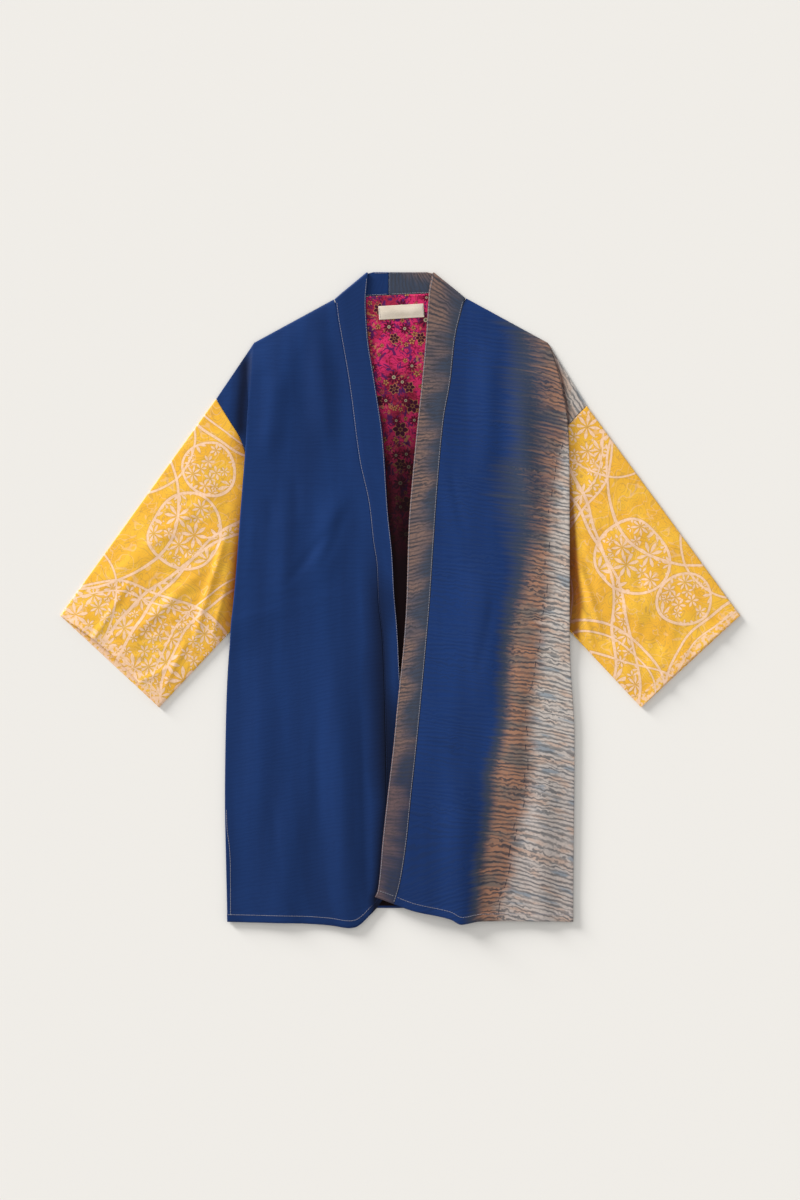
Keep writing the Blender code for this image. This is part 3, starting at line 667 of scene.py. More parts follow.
RIGHT_EDGE = table(
    "y lip run top level seam_y",
    (0.3471, 0.1988, 0.014, 0.0021, 0.0021, 0.262), (0.335, 0.2035, 0.011, 0.0034, 0.0026, 0.2575),
    (0.31, 0.2112, 0.0065, 0.0062, 0.0034, 0.2515), (0.285, 0.2172, 0.002, 0.0088, 0.0036, 0.245),
    (0.239, 0.2245, -0.007, 0.0091, 0.0036, 0.232), (0.2, 0.226, -0.018, 0.0091, 0.0036, 0.198),
    (0.15, 0.2266, -0.0255, 0.009, 0.0036, 0.15), (0.06, 0.2268, -0.0285, 0.0089, 0.0036, 0.06),
    (-0.015, 0.2268, -0.027, 0.0089, 0.0036, -0.015), (-0.0285, 0.2268, -0.013, 0.0092, 0.0032, -0.029),
    (-0.043, 0.2268, -0.001, 0.0088, 0.0021, -0.044), (-0.0941, 0.2288, 0.0, 0.0072, 0.0021, -0.0941),
    (-0.1871, 0.234, 0.0, 0.0068, 0.0021, -0.1871), (-0.35, 0.2328, 0.0, 0.0062, 0.0021, -0.35),
    (-0.434, 0.2322, 0.0, 0.0052, 0.0021, -0.434),
)

# The seam between each front and its neck band, with the height of the cloth along it
LEFT_BAND_SEAM = table(
    "y out height",
    (0.4057, 0.0894, 0.004), (0.2938, 0.0696, 0.005), (0.1904, 0.0558, 0.0055), (0.1284, 0.0422, 0.0051),
    (0.0802, 0.0369, 0.0047), (0.0458, 0.0318, 0.0044), (0.0, 0.03, 0.0042), (-0.054, 0.0241, 0.0041),
    (-0.131, 0.0213, 0.0041), (-0.25, 0.019, 0.0041), (-0.397, 0.017, 0.0041),
)
RIGHT_BAND_SEAM = table(
    "y out height",
    (0.4073, 0.0886, 0.004), (0.3557, 0.0749, 0.0048), (0.2938, 0.068, 0.0054), (0.2454, 0.0593, 0.0058),
    (0.1732, 0.0523, 0.0062), (0.0802, 0.0456, 0.0067), (0.0, 0.0404, 0.008), (-0.054, 0.0358, 0.0095),
    (-0.1364, 0.0283, 0.0112), (-0.2124, 0.0207, 0.012), (-0.27, 0.0145, 0.0122), (-0.324, 0.0091, 0.012),
    (-0.3807, 0.0001, 0.0115), (-0.4099, -0.0083, 0.011),
)

# The lower edges of the fronts
LEFT_HEM = table(
    "out y",
    (0.017, -0.397), (0.024, -0.405), (0.0315, -0.4155), (0.0431, -0.4273), (0.0522, -0.4363),
    (0.06, -0.4412), (0.0678, -0.4425), (0.095, -0.4389), (0.1353, -0.4363), (0.1735, -0.4355),
    (0.2332, -0.4342),
)
RIGHT_HEM = table(
    "out y",
    (-0.0083, -0.4099), (0.0163, -0.4189), (0.0678, -0.4305), (0.082, -0.4374), (0.1077, -0.4334),
    (0.15, -0.433), (0.2332, -0.434),
)

# The large folds in each front: a ridge from its upper to its lower end, below zero for a trough.
# "Across" is the distance out and "along" is y.
LEFT_FOLDS = table(
    "across_from along_from across_to along_to width height",
    (0.16, 0.335, 0.178, 0.18, 0.016, 0.003), (0.112, 0.385, 0.098, 0.19, 0.014, 0.0026),
    (0.136, 0.36, 0.128, 0.22, 0.011, -0.0011), (0.082, 0.16, 0.112, 0.01, 0.017, 0.0026),
    (0.15, 0.17, 0.16, -0.04, 0.017, 0.0022), (0.09, -0.03, 0.066, -0.52, 0.021, 0.0042),
    (0.188, -0.09, 0.196, -0.34, 0.02, 0.0018), (0.145, -0.22, 0.165, -0.54, 0.024, 0.0024),
)
RIGHT_FOLDS = table(
    "across_from along_from across_to along_to width height",
    (0.122, 0.38, 0.112, 0.12, 0.017, 0.003), (0.16, 0.34, 0.178, 0.06, 0.016, 0.003),
    (0.105, 0.08, 0.122, -0.18, 0.019, 0.003), (0.165, -0.04, 0.148, -0.3, 0.018, 0.0026),
    (0.078, -0.19, 0.084, -0.54, 0.021, 0.004), (0.19, -0.18, 0.192, -0.54, 0.018, 0.0026),
)

# The smaller creases, placed in the same way
LEFT_CREASES = table(
    "across_from along_from across_to along_to width height",
    (0.068, 0.138, 0.11, 0.027, 0.0095, -0.0011), (0.086, 0.108, 0.16, 0.01, 0.009, -0.0008),
    (0.176, 0.142, 0.172, 0.09, 0.008, -0.0007), (0.142, 0.171, 0.139, 0.105, 0.008, -0.0007),
    (0.2, 0.12, 0.212, 0.01, 0.008, 0.0008), (0.05, -0.06, 0.044, -0.44, 0.007, -0.001),
    (0.12, -0.15, 0.105, -0.33, 0.009, -0.0008), (0.175, -0.25, 0.16, -0.4, 0.008, -0.0007),
)
RIGHT_CREASES = table(
    "across_from along_from across_to along_to width height",
    (0.062, 0.2, 0.09, 0.07, 0.007, -0.0009), (0.13, 0.02, 0.1, -0.12, 0.008, -0.0008),
    (0.03, -0.18, 0.12, -0.24, 0.008, -0.0008), (0.05, -0.26, 0.15, -0.32, 0.009, -0.0008),
    (0.1, -0.33, 0.11, -0.43, 0.006, 0.001), (0.2, 0.2, 0.214, 0.03, 0.006, 0.0009),
)


def fold_heights(folds, across, along):
    """The height that a table of soft folds adds: a rounded ridge along each line, a bell of exp(-(d/w)^2)
    in the distance d from it over its width w, fading at its ends."""
    total = np.zeros(np.broadcast(across, along).shape)
    for across_from, along_from, across_to, along_to, width, height in zip(*folds.values()):
        share = (along - along_from) / (along_to - along_from)
        middle = slide(across_from, across_to, np.clip(share, 0, 1))
        ridge = np.exp(-(((across - middle) / width) ** 2))
        total += height * ridge * ease(share / FOLD_END) * ease((1 - share) / FOLD_END)
    return total


def walked(points):
    """How far along its line of points each point is: the sum of the steps before it."""
    steps = np.diff(points, axis=-2, prepend=points[..., :1, :])
    return np.cumsum(np.linalg.norm(steps, axis=-1), axis=-1)


def turned_edge(drop, run, reach):
    """Every row's turned edge, as complex numbers of the distance out and down, and the share of the way
    along it.

    An arc turns over the edge, a straight runs down or back under, an arc turns back to level, and a
    level stretch ends at the seam, which is `reach` beyond the lip. The straight's length and the turn
    follow from the triangle of drop, run and the two radii. The radius is at most a share of the one at
    which the straight vanishes, which is (run^2 + drop^2) / 4 drop. Where the edge runs outwards, the arcs
    and the straight give way to one smooth fall."""
    radius = np.minimum(FOLD_RADIUS, ROOM * (run**2 + drop**2) / (4 * drop))
    beyond = drop - 2 * radius
    length = np.sqrt(np.maximum(run**2 + beyond**2 - 4 * radius**2, SHORTEST_STRAIGHT**2))
    turn = np.arctan2(beyond, run) + np.arctan2(2 * radius, length)
    over = turn * np.linspace(0, 1, ARC_STEPS + 1)[1:]
    back = turn * np.linspace(1, 0, ARC_STEPS + 1)[1:]
    along = length * np.linspace(0, 1, STRAIGHT_STEPS + 1)[1:]
    arc = 1j * radius * (1 - np.exp(1j * over))
    straight = arc[:, -1:] + along * np.exp(1j * turn)
    last_arc = straight[:, -1:] + 1j * radius * (np.exp(1j * back) - np.exp(1j * turn))
    roll = np.concatenate([arc, straight, last_arc], axis=1)
    end = roll[:, -1:]
    fall = np.linspace(0, 1, roll.shape[1] + 1)[1:]
    roll = slide(roll, end.real * fall + 1j * end.imag * ease(fall), np.clip(run / SOFT_RUN, 0, 1))
    to_seam = np.linspace(0, 1, CAP_STEPS + 1)[1:]
    path = np.concatenate([roll, slide(end.real, reach, to_seam) + 1j * end.imag], axis=1)
    share = np.cumsum(np.abs(np.diff(path, axis=1, prepend=0)), axis=1)
    return path, share / share[:, -1:]


def front_points(side):
    """Rows of points from the band's seam over the front, round its turned edge and out to the seam, and
    the places on the unrolled cloth."""
    rows = np.linspace(FRONT_LOW_Y, FRONT_TOP_Y, FRONT_ROWS)[:, None]
    share = (rows - FRONT_LOW_Y) / (FRONT_TOP_Y - FRONT_LOW_Y)
    band_y = side["band_seam"]["y"]
    seam_y = slide(band_y[-1], band_y[0], share)
    corner = ease((share - 1 + CORNER_SHARE) / CORNER_SHARE)
    below_top = band_y[0] - seam_y
    tuck = (1 - ease(below_top / SHOULDER_TUCK_REACH)) * ease(below_top / SHOULDER_TUCK_START)
    seam_out = read(side["band_seam"], "out", seam_y) + SHOULDER_CORNER_OUT * corner - SHOULDER_TUCK * tuck
    seam_y = seam_y - SHOULDER_CORNER_DOWN * corner
    seam_height = read(side["band_seam"], "height", seam_y)
    edge = (read(side["edge"], name, rows) for name in ("lip", "run", "top", "level", "seam_y"))
    lip, run, top, level, end_y = edge
    end_out = read(side["seam"], "out", end_y)

    across = np.linspace(0, 1, FRONT_COLUMNS) ** SEAM_CROWDING
    out = slide(seam_out, lip, across)
    y = slide(seam_y, rows, across)
    hem_y = read(side["hem"], "y", out[0], by="out")
    y = y + (hem_y - y[0]) * np.clip(1 - (y - y[0]) / HEM_REACH, 0, 1) ** 2
    height = slide(seam_height, top, ease(across))
    edges = ease(across / FOLD_EDGE) * ease((1 - across) / FOLD_EDGE)
    swell = SWELL_HEIGHT * ripple(out, y * SWELL_STRETCH, SWELL_LENGTH, side["seed"])
    folds = fold_heights(side["folds"], out, y) + fold_heights(side["creases"], out, y)
    height = height + edges * (folds + swell)
    height = LOWEST_FRONT + SOFT_FLOOR * np.logaddexp(0, (height - LOWEST_FRONT) / SOFT_FLOOR)
    falls = side["edge_fall"] * ease((EDGE_FALL_FROM - rows) / EDGE_FALL_FADE)
    falls = falls * ease((rows - FRONT_LOW_Y) / EDGE_FALL_FADE)
    height = height - falls * (top - level) * (1 - ease((lip - out) / EDGE_FALL_REACH))
    to_shoulder = np.clip((FRONT_TOP_Y - rows) / SHOULDER_ROLL, 0, 1)
    height = slide(EDGE_LEVEL, height, np.sqrt(1 - (1 - to_shoulder) ** 2))

    turned, turned_share = turned_edge(height[:, -1:] - level, run, end_out - lip)
    turned_y = slide(y[:, -1:], end_y, turned_share)
    turned_layer = vectors(lip + turned.real, turned_y, height[:, -1:] - turned.imag)
    points = np.concatenate([vectors(out, y, height), turned_layer], axis=1)
    place = vectors(seam_out + walked(points), points[..., 1], 0)
    points[..., 0] *= side["sign"]
    place[..., 0] *= side["sign"]
    return points[:, :: side["sign"]], place[:, :: side["sign"]]


LEFT = dict(
    sign=-1, seed=3, edge_fall=0.45, cap_shade=0.010,
    seam=LEFT_SEAM, edge=LEFT_EDGE, band_seam=LEFT_BAND_SEAM, band_edge=LEFT_BAND_EDGE,
    hem=LEFT_HEM, folds=LEFT_FOLDS, creases=LEFT_CREASES,
)
RIGHT = dict(
    sign=1, seed=5, edge_fall=0.30, cap_shade=0.003,
    seam=RIGHT_SEAM, edge=RIGHT_EDGE, band_seam=RIGHT_BAND_SEAM, band_edge=RIGHT_BAND_EDGE,
    hem=RIGHT_HEM, folds=RIGHT_FOLDS, creases=RIGHT_CREASES,
)

# Where the right front's blue ends, where its brown orange turns pale, and how far the blue bleeds
BLUE_LIMIT = table(
    "y out",
    (0.347, 0.182), (0.2835, 0.186), (0.243, 0.191), (0.2025, 0.187), (0.162, 0.169), (0.1215, 0.171),
    (0.081, 0.175), (0.0405, 0.168), (0.0, 0.158), (-0.0405, 0.148), (-0.081, 0.145), (-0.162, 0.14),
    (-0.2025, 0.1295), (-0.243, 0.123), (-0.324, 0.1135), (-0.3645, 0.107), (-0.405, 0.1045),
)
ORANGE_LIMIT = table(
    "y out",
    (0.3, 0.238), (0.23, 0.232), (0.175, 0.217), (0.054, 0.202), (0.015, 0.2004), (-0.011, 0.1962),
    (-0.027, 0.1927), (-0.099, 0.1841), (-0.137, 0.1752), (-0.175, 0.172), (-0.24, 0.1718), (-0.279, 0.1648),
    (-0.309, 0.1561), (-0.37, 0.1448), (-0.41, 0.1334),
)
BLEED_REACH = table(
    "y reach",
    (0.35, 0.05), (0.2, 0.046), (0.11, 0.04), (0.04, 0.024), (-0.04, 0.015), (-0.42, 0.013),
)

STRIPE_PITCH = 0.0058
STRIPE_SLOPE = 0.11
PALE_SLOPE = 1.3
PALE_SLOPE_FROM = 0.165
HEM_ARCH = 0.30
HEM_ARCH_ROUND = 0.025
HEM_ARCH_OUT = 0.131
HEM_ARCH_Y = -0.280
HEM_ARCH_REACH = 0.110
RIGHT_BLUE = (0.0075, 0.0290, 0.1210)
RIGHT_BLUE_BRIGHT = (0.0090, 0.0360, 0.1500)
SHADED_BROWN = (0.350, 0.180, 0.115)
SHADED_DULL = (0.180, 0.140, 0.120)
SHADED_PALE = (0.560, 0.500, 0.455)
PALE_LOW = (0.92, 0.92, 0.94)
SHADED_PEACH = (0.560, 0.420, 0.340)
SHADED_SLATE = (0.300, 0.330, 0.360)
STRIPE_BLUE = (0.022, 0.042, 0.090)
STRIPE_DARK = (0.042, 0.043, 0.054)
STRIPE_GREY = (0.128, 0.130, 0.138)
SMOKE = (0.040, 0.050, 0.080)
DASH = (0.012, 0.014, 0.030)
DASH_HALF_WIDTH = 0.0008
DASH_STEP = 0.019
CAP_FROM_Y = 0.200
CAP_REACH = 0.030
CAP_WAY = (0.526, -0.851)
CAP_PAST_BLUE = 3.0
CAP_PAST_BROWN = 0.030
CAP_SHADE_FROM = 0.205
CAP_SHADE_TO = 0.345
CAP_SHADE_FADE = 0.030
CAP_SHADE_MOST = 0.80
HEM_SHADE_FROM = -0.120
HEM_SHADE_FADE = 0.300
HEM_SHADE_MOST = 0.16
RIB_SLOPE = 0.20
RIB_SLOPE_TO = 0.060
RIB_SLOPE_FADE = 0.100

# The deep shade beside the lapping band: its greatest share, and how far it reaches over the front and
# over the left band, from the left band's seam or, lower down, from the right band's edge
LAP_SHADE = table(
    "y most front_reach band_reach",
    (0.11, 0.0, 0.02, 0.012), (0.054, 0.3, 0.026, 0.012), (0.0, 0.7, 0.024, 0.03),
    (-0.054, 0.81, 0.026, 0.014), (-0.108, 0.82, 0.034, 0.013), (-0.162, 0.91, 0.029, 0.03),
    (-0.216, 0.92, 0.03, 0.05), (-0.27, 0.9, 0.023, 0.05), (-0.324, 0.9, 0.018, 0.05),
    (-0.378, 0.95, 0.012, 0.05),
)


def shaded_silk(weft, zone):
    """Silk shaded across from blue through smoky slate and brown to pale grey, under wavy cross stripes. The
    attribute "zone" holds the shares of the bleed past the blue's limit and the distance past the brown's
    limit. Along that second limit runs a broken dark line in short steps."""
    past_blue, past_brown = parts(zone)[:2]
    along = parts(weft)[1]
    stripe, strength = cross_stripes(weft, STRIPE_PITCH)
    bleed = noise(weft, 6, 180, rough=0.6) * 1.8 - 0.9
    edge = past_blue + (bleed + (noise(weft, 12, 22) - 0.5))
    colour = blue_ground(weft, RIGHT_BLUE, RIGHT_BLUE_BRIGHT, rib_share=0.20)[0]
    colour = mix(between(edge, -1.2, 0.0), colour, SMOKE)
    dull = between(noise(weft, 16, 50, detail=3, rough=0.6), 0.42, 0.66)
    colour = mix(between(edge, -0.20, 1.10), colour, mix(dull, SHADED_BROWN, SHADED_DULL))

    past = between(past_brown + (noise(weft, 20, 160) * 0.030 - 0.015), -0.007, 0.020)
    tint = noise(weft, 24, 80, detail=3)
    pale = mix(between(tint, 0.50, 0.64), SHADED_PALE, SHADED_PEACH)
    pale = mix(between(tint, 0.46, 0.34), pale, SHADED_SLATE)
    pale = mix(between(along, -0.10, -0.22), pale, PALE_LOW, how="MULTIPLY")
    colour = mix(past, colour, pale)
    lines = mix(past, mix(between(edge, -0.3, 0.9), STRIPE_BLUE, STRIPE_DARK), STRIPE_GREY)
    depth = between(edge, -0.9, 0.3) * 0.72 + 0.16
    colour = mix((strength * 0.45 + 0.55) * stripe * depth, colour, lines)
    grain = between(noise(weft, 260, 420, rough=0.7), 0.48, 0.70) * between(edge, -0.6, 0.6)
    colour = mix(grain * 0.34, colour, STRIPE_GREY)

    jump = node("TexWhiteNoise", {"W": calc("FLOOR", along / DASH_STEP)}, noise_dimensions="1D")[0]
    aside = calc("ABSOLUTE", past_brown + (jump * 0.006 - 0.003))
    dash = between(DASH_HALF_WIDTH - aside, -0.0002, 0.0005) * between(noise(weft, 8, 150), 0.48, 0.56)
    return mix(dash * 0.75, colour, DASH), stripe


SHADED_SILK = silk(shaded_silk, "weft", "zone")


def hemmed(points):
    """A front's thickness: more by the hem's turned-up layer below the hem's depth."""
    above = points[..., 1] - points[:1, :, 1]
    return CLOTH + HEM_EXTRA * (1 - ease((above - HEM_DEPTH) / HEM_STEP))


def lap_shade(points):
    """The share of deep shade on the left side beside the lapping right one. It rises in a straight slope
    up to the left band's seam, or to the right band's edge where that lies further left, and falls again
    past it."""
    x, y = points[..., 0], points[..., 1]
    line = np.minimum(-read(LEFT_BAND_SEAM, "out", y), read(RIGHT_BAND_EDGE, "out", y))
    reach = np.where(x < line, read(LAP_SHADE, "front_reach", y), read(LAP_SHADE, "band_reach", y))
    return read(LAP_SHADE, "most", y) * (1 - np.abs(x - line) / reach).clip(0)


def in_shade(points, side):
    """The share of deep shade on a front, as a vector's first part: a bell at the foot of its overhanging
    roll above the armhole, a slow fall towards the hem, and on the left front beside the lapping band."""
    y = points[..., 1]
    past_lip = np.abs(points[..., 0]) - read(side["edge"], "lip", y)
    window = ease((y - CAP_SHADE_FROM) / CAP_SHADE_FADE) * ease((CAP_SHADE_TO - y) / CAP_SHADE_FADE)
    bell = np.exp(-(((past_lip - side["cap_shade"]) / side["cap_shade"]) ** 2)) * (past_lip > 0)
    low = ease((HEM_SHADE_FROM - y) / HEM_SHADE_FADE)
    share = np.maximum(CAP_SHADE_MOST * window * bell, HEM_SHADE_MOST * low)
    return vectors(np.maximum(share, lap_shade(points)) if side is LEFT else share, 0, 0)


left_points, left_place = front_points(LEFT)
left_thickness = hemmed(left_points)
slope = RIB_SLOPE * ease((RIB_SLOPE_TO - left_place[..., 1]) / RIB_SLOPE_FADE)
left_place[..., 1] -= slope * left_place[..., 0]
left_attributes = {"cloth": left_place, "shade": in_shade(left_points, LEFT)}
left_front_cloth = cloth_piece("left_front_cloth", left_points, left_thickness, BLUE_SILK, left_attributes)

# The right front's stripes slope a little, more in the pale part, and arch near the hem. On its cap
# they run down along the shoulder's slope.
right_points, right_place = front_points(RIGHT)
right_thickness = hemmed(right_points)
right_out, right_y = right_place[..., 0], right_place[..., 1]
past_blue = (right_out - read(BLUE_LIMIT, "out", right_y)) / read(BLEED_REACH, "reach", right_y)
past_brown = right_out - read(ORANGE_LIMIT, "out", right_y)
from_arch = right_out - HEM_ARCH_OUT
arch = HEM_ARCH * np.hypot(from_arch, HEM_ARCH_ROUND)
sloped = STRIPE_SLOPE * from_arch + PALE_SLOPE * np.maximum(right_out - PALE_SLOPE_FROM, 0) ** 2
weft_across = right_y + slide(sloped, arch, ease((HEM_ARCH_Y - right_y) / HEM_ARCH_REACH))
on_cap = np.arange(right_out.shape[1]) >= FRONT_COLUMNS + ARC_STEPS
cap = ease((right_y - CAP_FROM_Y) / CAP_REACH) * on_cap
cap_along = right_points[..., :2] @ CAP_WAY
cap_across = right_points[..., :2] @ (-CAP_WAY[1], CAP_WAY[0])
right_attributes = {
    "weft": vectors(slide(right_out, cap_along, cap), slide(weft_across, cap_across, cap), 0),
    "zone": vectors(slide(past_blue, CAP_PAST_BLUE, cap), slide(past_brown, CAP_PAST_BROWN, cap), 0),
    "shade": in_shade(right_points, RIGHT),
}
right_front_cloth = cloth_piece(
    "right_front_cloth", right_points, right_thickness, SHADED_SILK, right_attributes
)
for piece, solid, slot in (
    (left_front_cloth, "front_left", "blue_silk"),
    (right_front_cloth, "front_right", "shaded_silk"),
):
    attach(piece, "root")
    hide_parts(solid)


# Neck band
# A strip of silk folded in half lengthwise and stitched along both edges, in two halves that meet
# behind the neck. It lies round the back of the neck, folds over at each side, and runs down the
# front's edge. The left half is blue, the right half shaded.

BAND_CLOTH = 0.0019
BAND_PRESSED = 0.0011
PRESSED_SHARE = 0.20
BAND_SEAM_GAP = 0.00012
BAND_COLUMNS = 17
BAND_ROWS = 330
NECK_ROWS = 44
NECK_FOLD_STEPS = 10
NECK_TOP = 0.4425
NECK_HALF_WIDTH = 0.0449
NECK_FOLD_RADIUS = 0.0015
NECK_BACK_LEVEL = 0.0010
NECK_FOLD_REACH = 0.030
BAND_PITCH = 0.0053
BAND_SLATE = (0.044, 0.058, 0.092)
BAND_BROWN = (0.215, 0.135, 0.110)
COLLAR_LENGTH = 0.070
CALM_FROM = 0.64
CALM_TO = 0.78
LOWER_BAND_TINT = (0.62, 0.64, 0.82)

# Where a straight row of the band runs, from its seam to its free edge
BAND_LINES = table(
    "seam_y edge_y",
    (0.4057, 0.4425), (0.385, 0.408), (0.365, 0.377), (0.34, 0.345), (0.31, 0.311), (-0.3, -0.3),
    (-0.41, -0.4),
)

# The seam of the band across the back of the neck
LEFT_NECK = table(
    "edge_out seam_out y",
    (0.0152, 0.0152, 0.4116), (0.026, 0.042, 0.4104), (0.036, 0.068, 0.408),
)
RIGHT_NECK = table(
    "edge_out seam_out y",
    (-0.0152, -0.0152, 0.4116), (0.008, 0.01, 0.4127), (0.025, 0.042, 0.414), (0.036, 0.068, 0.41),
)
LEFT.update(neck=LEFT_NECK)
RIGHT.update(neck=RIGHT_NECK)


def raised(plan, height):
    """Places seen from above, raised to a height, which becomes their third part."""
    return vectors(plan[..., 0], plan[..., 1], height)


def band_points(side):
    """Rows of points across the neck band: along the neck's back, over the slanted fold, down the front.

    Each row is straight from the seam to the free edge. The fold is half a circle about a slanted line
    just inside the outline, and the rows below it slide from that line onto the tables' lines."""
    band_seam, band_edge = side["band_seam"], side["band_edge"]
    neck = np.array([NECK_HALF_WIDTH, NECK_TOP])
    shoulder = np.array([band_seam["out"][0], band_seam["y"][0]])
    along = unit(shoulder - neck)
    outward = np.array([-along[1], along[0]])
    inset = outward * (NECK_FOLD_RADIUS + BAND_CLOTH / 2)
    share = np.linspace(0, 1, BAND_COLUMNS)
    across = share[:, None]

    behind = np.linspace(*side["neck"]["seam_out"][[0, -1]], NECK_ROWS)
    edge_out = np.interp(behind, side["neck"]["seam_out"], side["neck"]["edge_out"])
    seam = vectors(behind, read(side["neck"], "y", behind, by="seam_out"))[:, None]
    edge = vectors(edge_out, NECK_TOP)[:, None]
    seam[0, 0, 0] += SEAM_GAP / 2
    edge[0, 0, 0] += SEAM_GAP / 2
    back = raised(slide(seam, edge, across), NECK_BACK_LEVEL)

    angle = np.linspace(-math.pi / 2, math.pi / 2, NECK_FOLD_STEPS + 1)[:-1, None]
    bend = outward * NECK_FOLD_RADIUS * np.cos(angle)[..., None]
    fold_height = NECK_BACK_LEVEL + NECK_FOLD_RADIUS * (1 + np.sin(angle))
    fold = raised(slide(shoulder, neck, across) - inset + bend, fold_height)

    seam_y = np.linspace(*band_seam["y"][[0, -1]], BAND_ROWS)
    edge_y = read(BAND_LINES, "edge_y", seam_y, by="seam_y")
    seam = vectors(read(band_seam, "out", seam_y) - BAND_SEAM_GAP, seam_y)[:, None]
    edge = vectors(read(band_edge, "out", edge_y), edge_y)[:, None]
    near_fold = 1 - ease((band_seam["y"][0] - seam_y) / NECK_FOLD_REACH)
    heights = (read(band_seam, "height", seam_y)[:, None], read(band_edge, "height", edge_y)[:, None])
    front = raised(slide(seam, edge, across) - inset * near_fold[:, None, None], slide(*heights, ease(share)))
    points = np.concatenate([back, fold, front])
    width = np.linalg.norm(points[:, -1] - points[:, 0], axis=1)[:, None] * share
    place = vectors(width, walked(points.swapaxes(0, 1)).mean(axis=0)[:, None], 0)
    points[..., 0] *= side["sign"]
    return points[:, :: -side["sign"]], place[:, :: -side["sign"]]


def shaded_band(cloth):
    """The shaded half: dull brown at its free edge, slate at its seam, under fine dark cross stripes."""
    across, along = parts(cloth)[:2]
    bleed = noise(cloth, 8, 170, detail=3, rough=0.7) * 0.036 - 0.018
    patch = noise(cloth, 12, 22) * 0.110 - 0.055
    stripe, strength = cross_stripes(cloth, BAND_PITCH)
    behind = between(COLLAR_LENGTH - along, -0.010, 0.010)
    edge = across + bleed + patch - behind * 0.012
    # Lower down the band, its ground is darker and bluer and its stripes fainter
    plain = between(along, CALM_FROM, CALM_TO)
    ground = mix(between(edge, 0.002, 0.042), BAND_SLATE, BAND_BROWN)
    ground = mix(plain, ground, LOWER_BAND_TINT, how="MULTIPLY")
    depth = (between(across, 0.002, 0.030) * 0.40 + 0.50) * (1 - plain * 0.45)
    colour = mix((strength * 0.6 + 0.4) * stripe * depth, ground, STRIPE_DARK)
    grain = between(noise(cloth, 260, 420, rough=0.7), 0.46, 0.68)
    return mix(grain * 0.45, colour, STRIPE_DARK), stripe


SHADED_BAND = silk(shaded_band, "cloth")
band_thickness = slide(BAND_PRESSED, BAND_CLOTH, ease(np.linspace(0, 1, BAND_COLUMNS) / PRESSED_SHARE))
left_band_points, left_band_place = band_points(LEFT)
left_band_attributes = {"cloth": left_band_place, "shade": vectors(lap_shade(left_band_points), 0, 0)}
left_band_cloth = cloth_piece(
    "left_band_cloth", left_band_points, band_thickness, BLUE_SILK, left_band_attributes
)
right_band_points, right_band_place = band_points(RIGHT)
right_band_cloth = cloth_piece(
    "right_band_cloth", right_band_points, band_thickness[::-1], SHADED_BAND, {"cloth": right_band_place}
)
for piece, solid, slot, width, area in (
    (left_band_cloth, "neck_band_left", "blue_silk", 0.034, 0.026),
    (right_band_cloth, "neck_band_right", "shaded_silk", 0.040, 0.032),
):
    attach(piece, "root")
    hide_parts(solid)


# Sleeves
# Each sleeve is one wide straight tube of yellow printed silk, folded along its upper edge, seamed
# along its lower one and sewn to the dropped armhole. It lies flattened, its front softly wrinkled.

CUFF_TOP = (0.4588, -0.0211)
CUFF_BOTTOM = (0.3253, -0.1450)
SHOULDER_SEAM_END_Y = -0.0150
ARMHOLE_GAP = 2 * SEAM_GAP
ARMHOLE_SAMPLES = 400
RING_SAMPLES = 801
SLEEVE_LEVEL = 0.0036
SLEEVE_EDGE_RADIUS = (SLEEVE_LEVEL - BACK_LEVEL) / 2
UPPER_FOLD_REACH = 0.16
SLEEVE_FRONT_COLUMNS = 110
SLEEVE_BACK_COLUMNS = 60
SLEEVE_EDGE_COLUMNS = 7
SLEEVE_ROWS = 150
SLEEVE_TUCK = 0.035
SLEEVE_PUFF = 0.0014
CUFF_BOW_START = 0.75
CUFF_HEM = 0.013
CUFF_EXTRA = 0.0004
YELLOW = (0.860, 0.485, 0.048)
YELLOW_DEEP = (0.820, 0.425, 0.040)
PETAL_PINK = (0.860, 0.590, 0.430)
INK = (0.330, 0.200, 0.085)
PRINT_LENGTH = 0.37

# The print's flowers: the cell that each stands in, its radius, the petals' half breadth and number,
# and the share of the cells that stay empty
BIG_FLOWERS = (0.033, 0.0178, 0.0024, 8, 0.10)
SMALL_FLOWERS = (0.0160, 0.0090, 0.0017, 6, 0.05)

# The sleeves' folds, where "across" is the share of the way from the upper edge to the lower one and
# "along" the share of the way to the cuff. Then their wrinkles: height, stretch in x and y, wavelength
# and seed.
LEFT_SLEEVE_FOLDS = table(
    "across_from along_from across_to along_to width height",
    (0.3, 0.18, 0.12, 0.8, 0.05, 0.0016), (0.44, 0.04, 0.93, 0.62, 0.046, 0.0026),
    (0.66, 0.1, 0.99, 0.44, 0.034, 0.0014), (0.6, 0.25, 0.48, 0.95, 0.045, 0.0018),
    (0.8, 0.52, 0.98, 0.98, 0.03, 0.002), (0.22, 0.62, 0.34, 1.2, 0.024, 0.0014),
    (0.9, 0.66, 0.7, 1.2, 0.022, 0.0013),
)
RIGHT_SLEEVE_FOLDS = table(
    "across_from along_from across_to along_to width height",
    (0.25, 0.22, 0.15, 0.8, 0.05, 0.0015), (0.5, 0.06, 0.9, 0.55, 0.046, 0.0024),
    (0.72, 0.16, 0.99, 0.5, 0.034, 0.0014), (0.55, 0.3, 0.4, 0.95, 0.045, 0.0018),
    (0.86, 0.5, 0.72, 1.2, 0.028, 0.0018), (0.12, 0.6, 0.24, 1.2, 0.024, 0.0013),
)
SLEEVE_WRINKLES = ((0.0008, 1.3, 1.0, 0.060, 40), (0.0003, 1.0, 1.4, 0.022, 60))

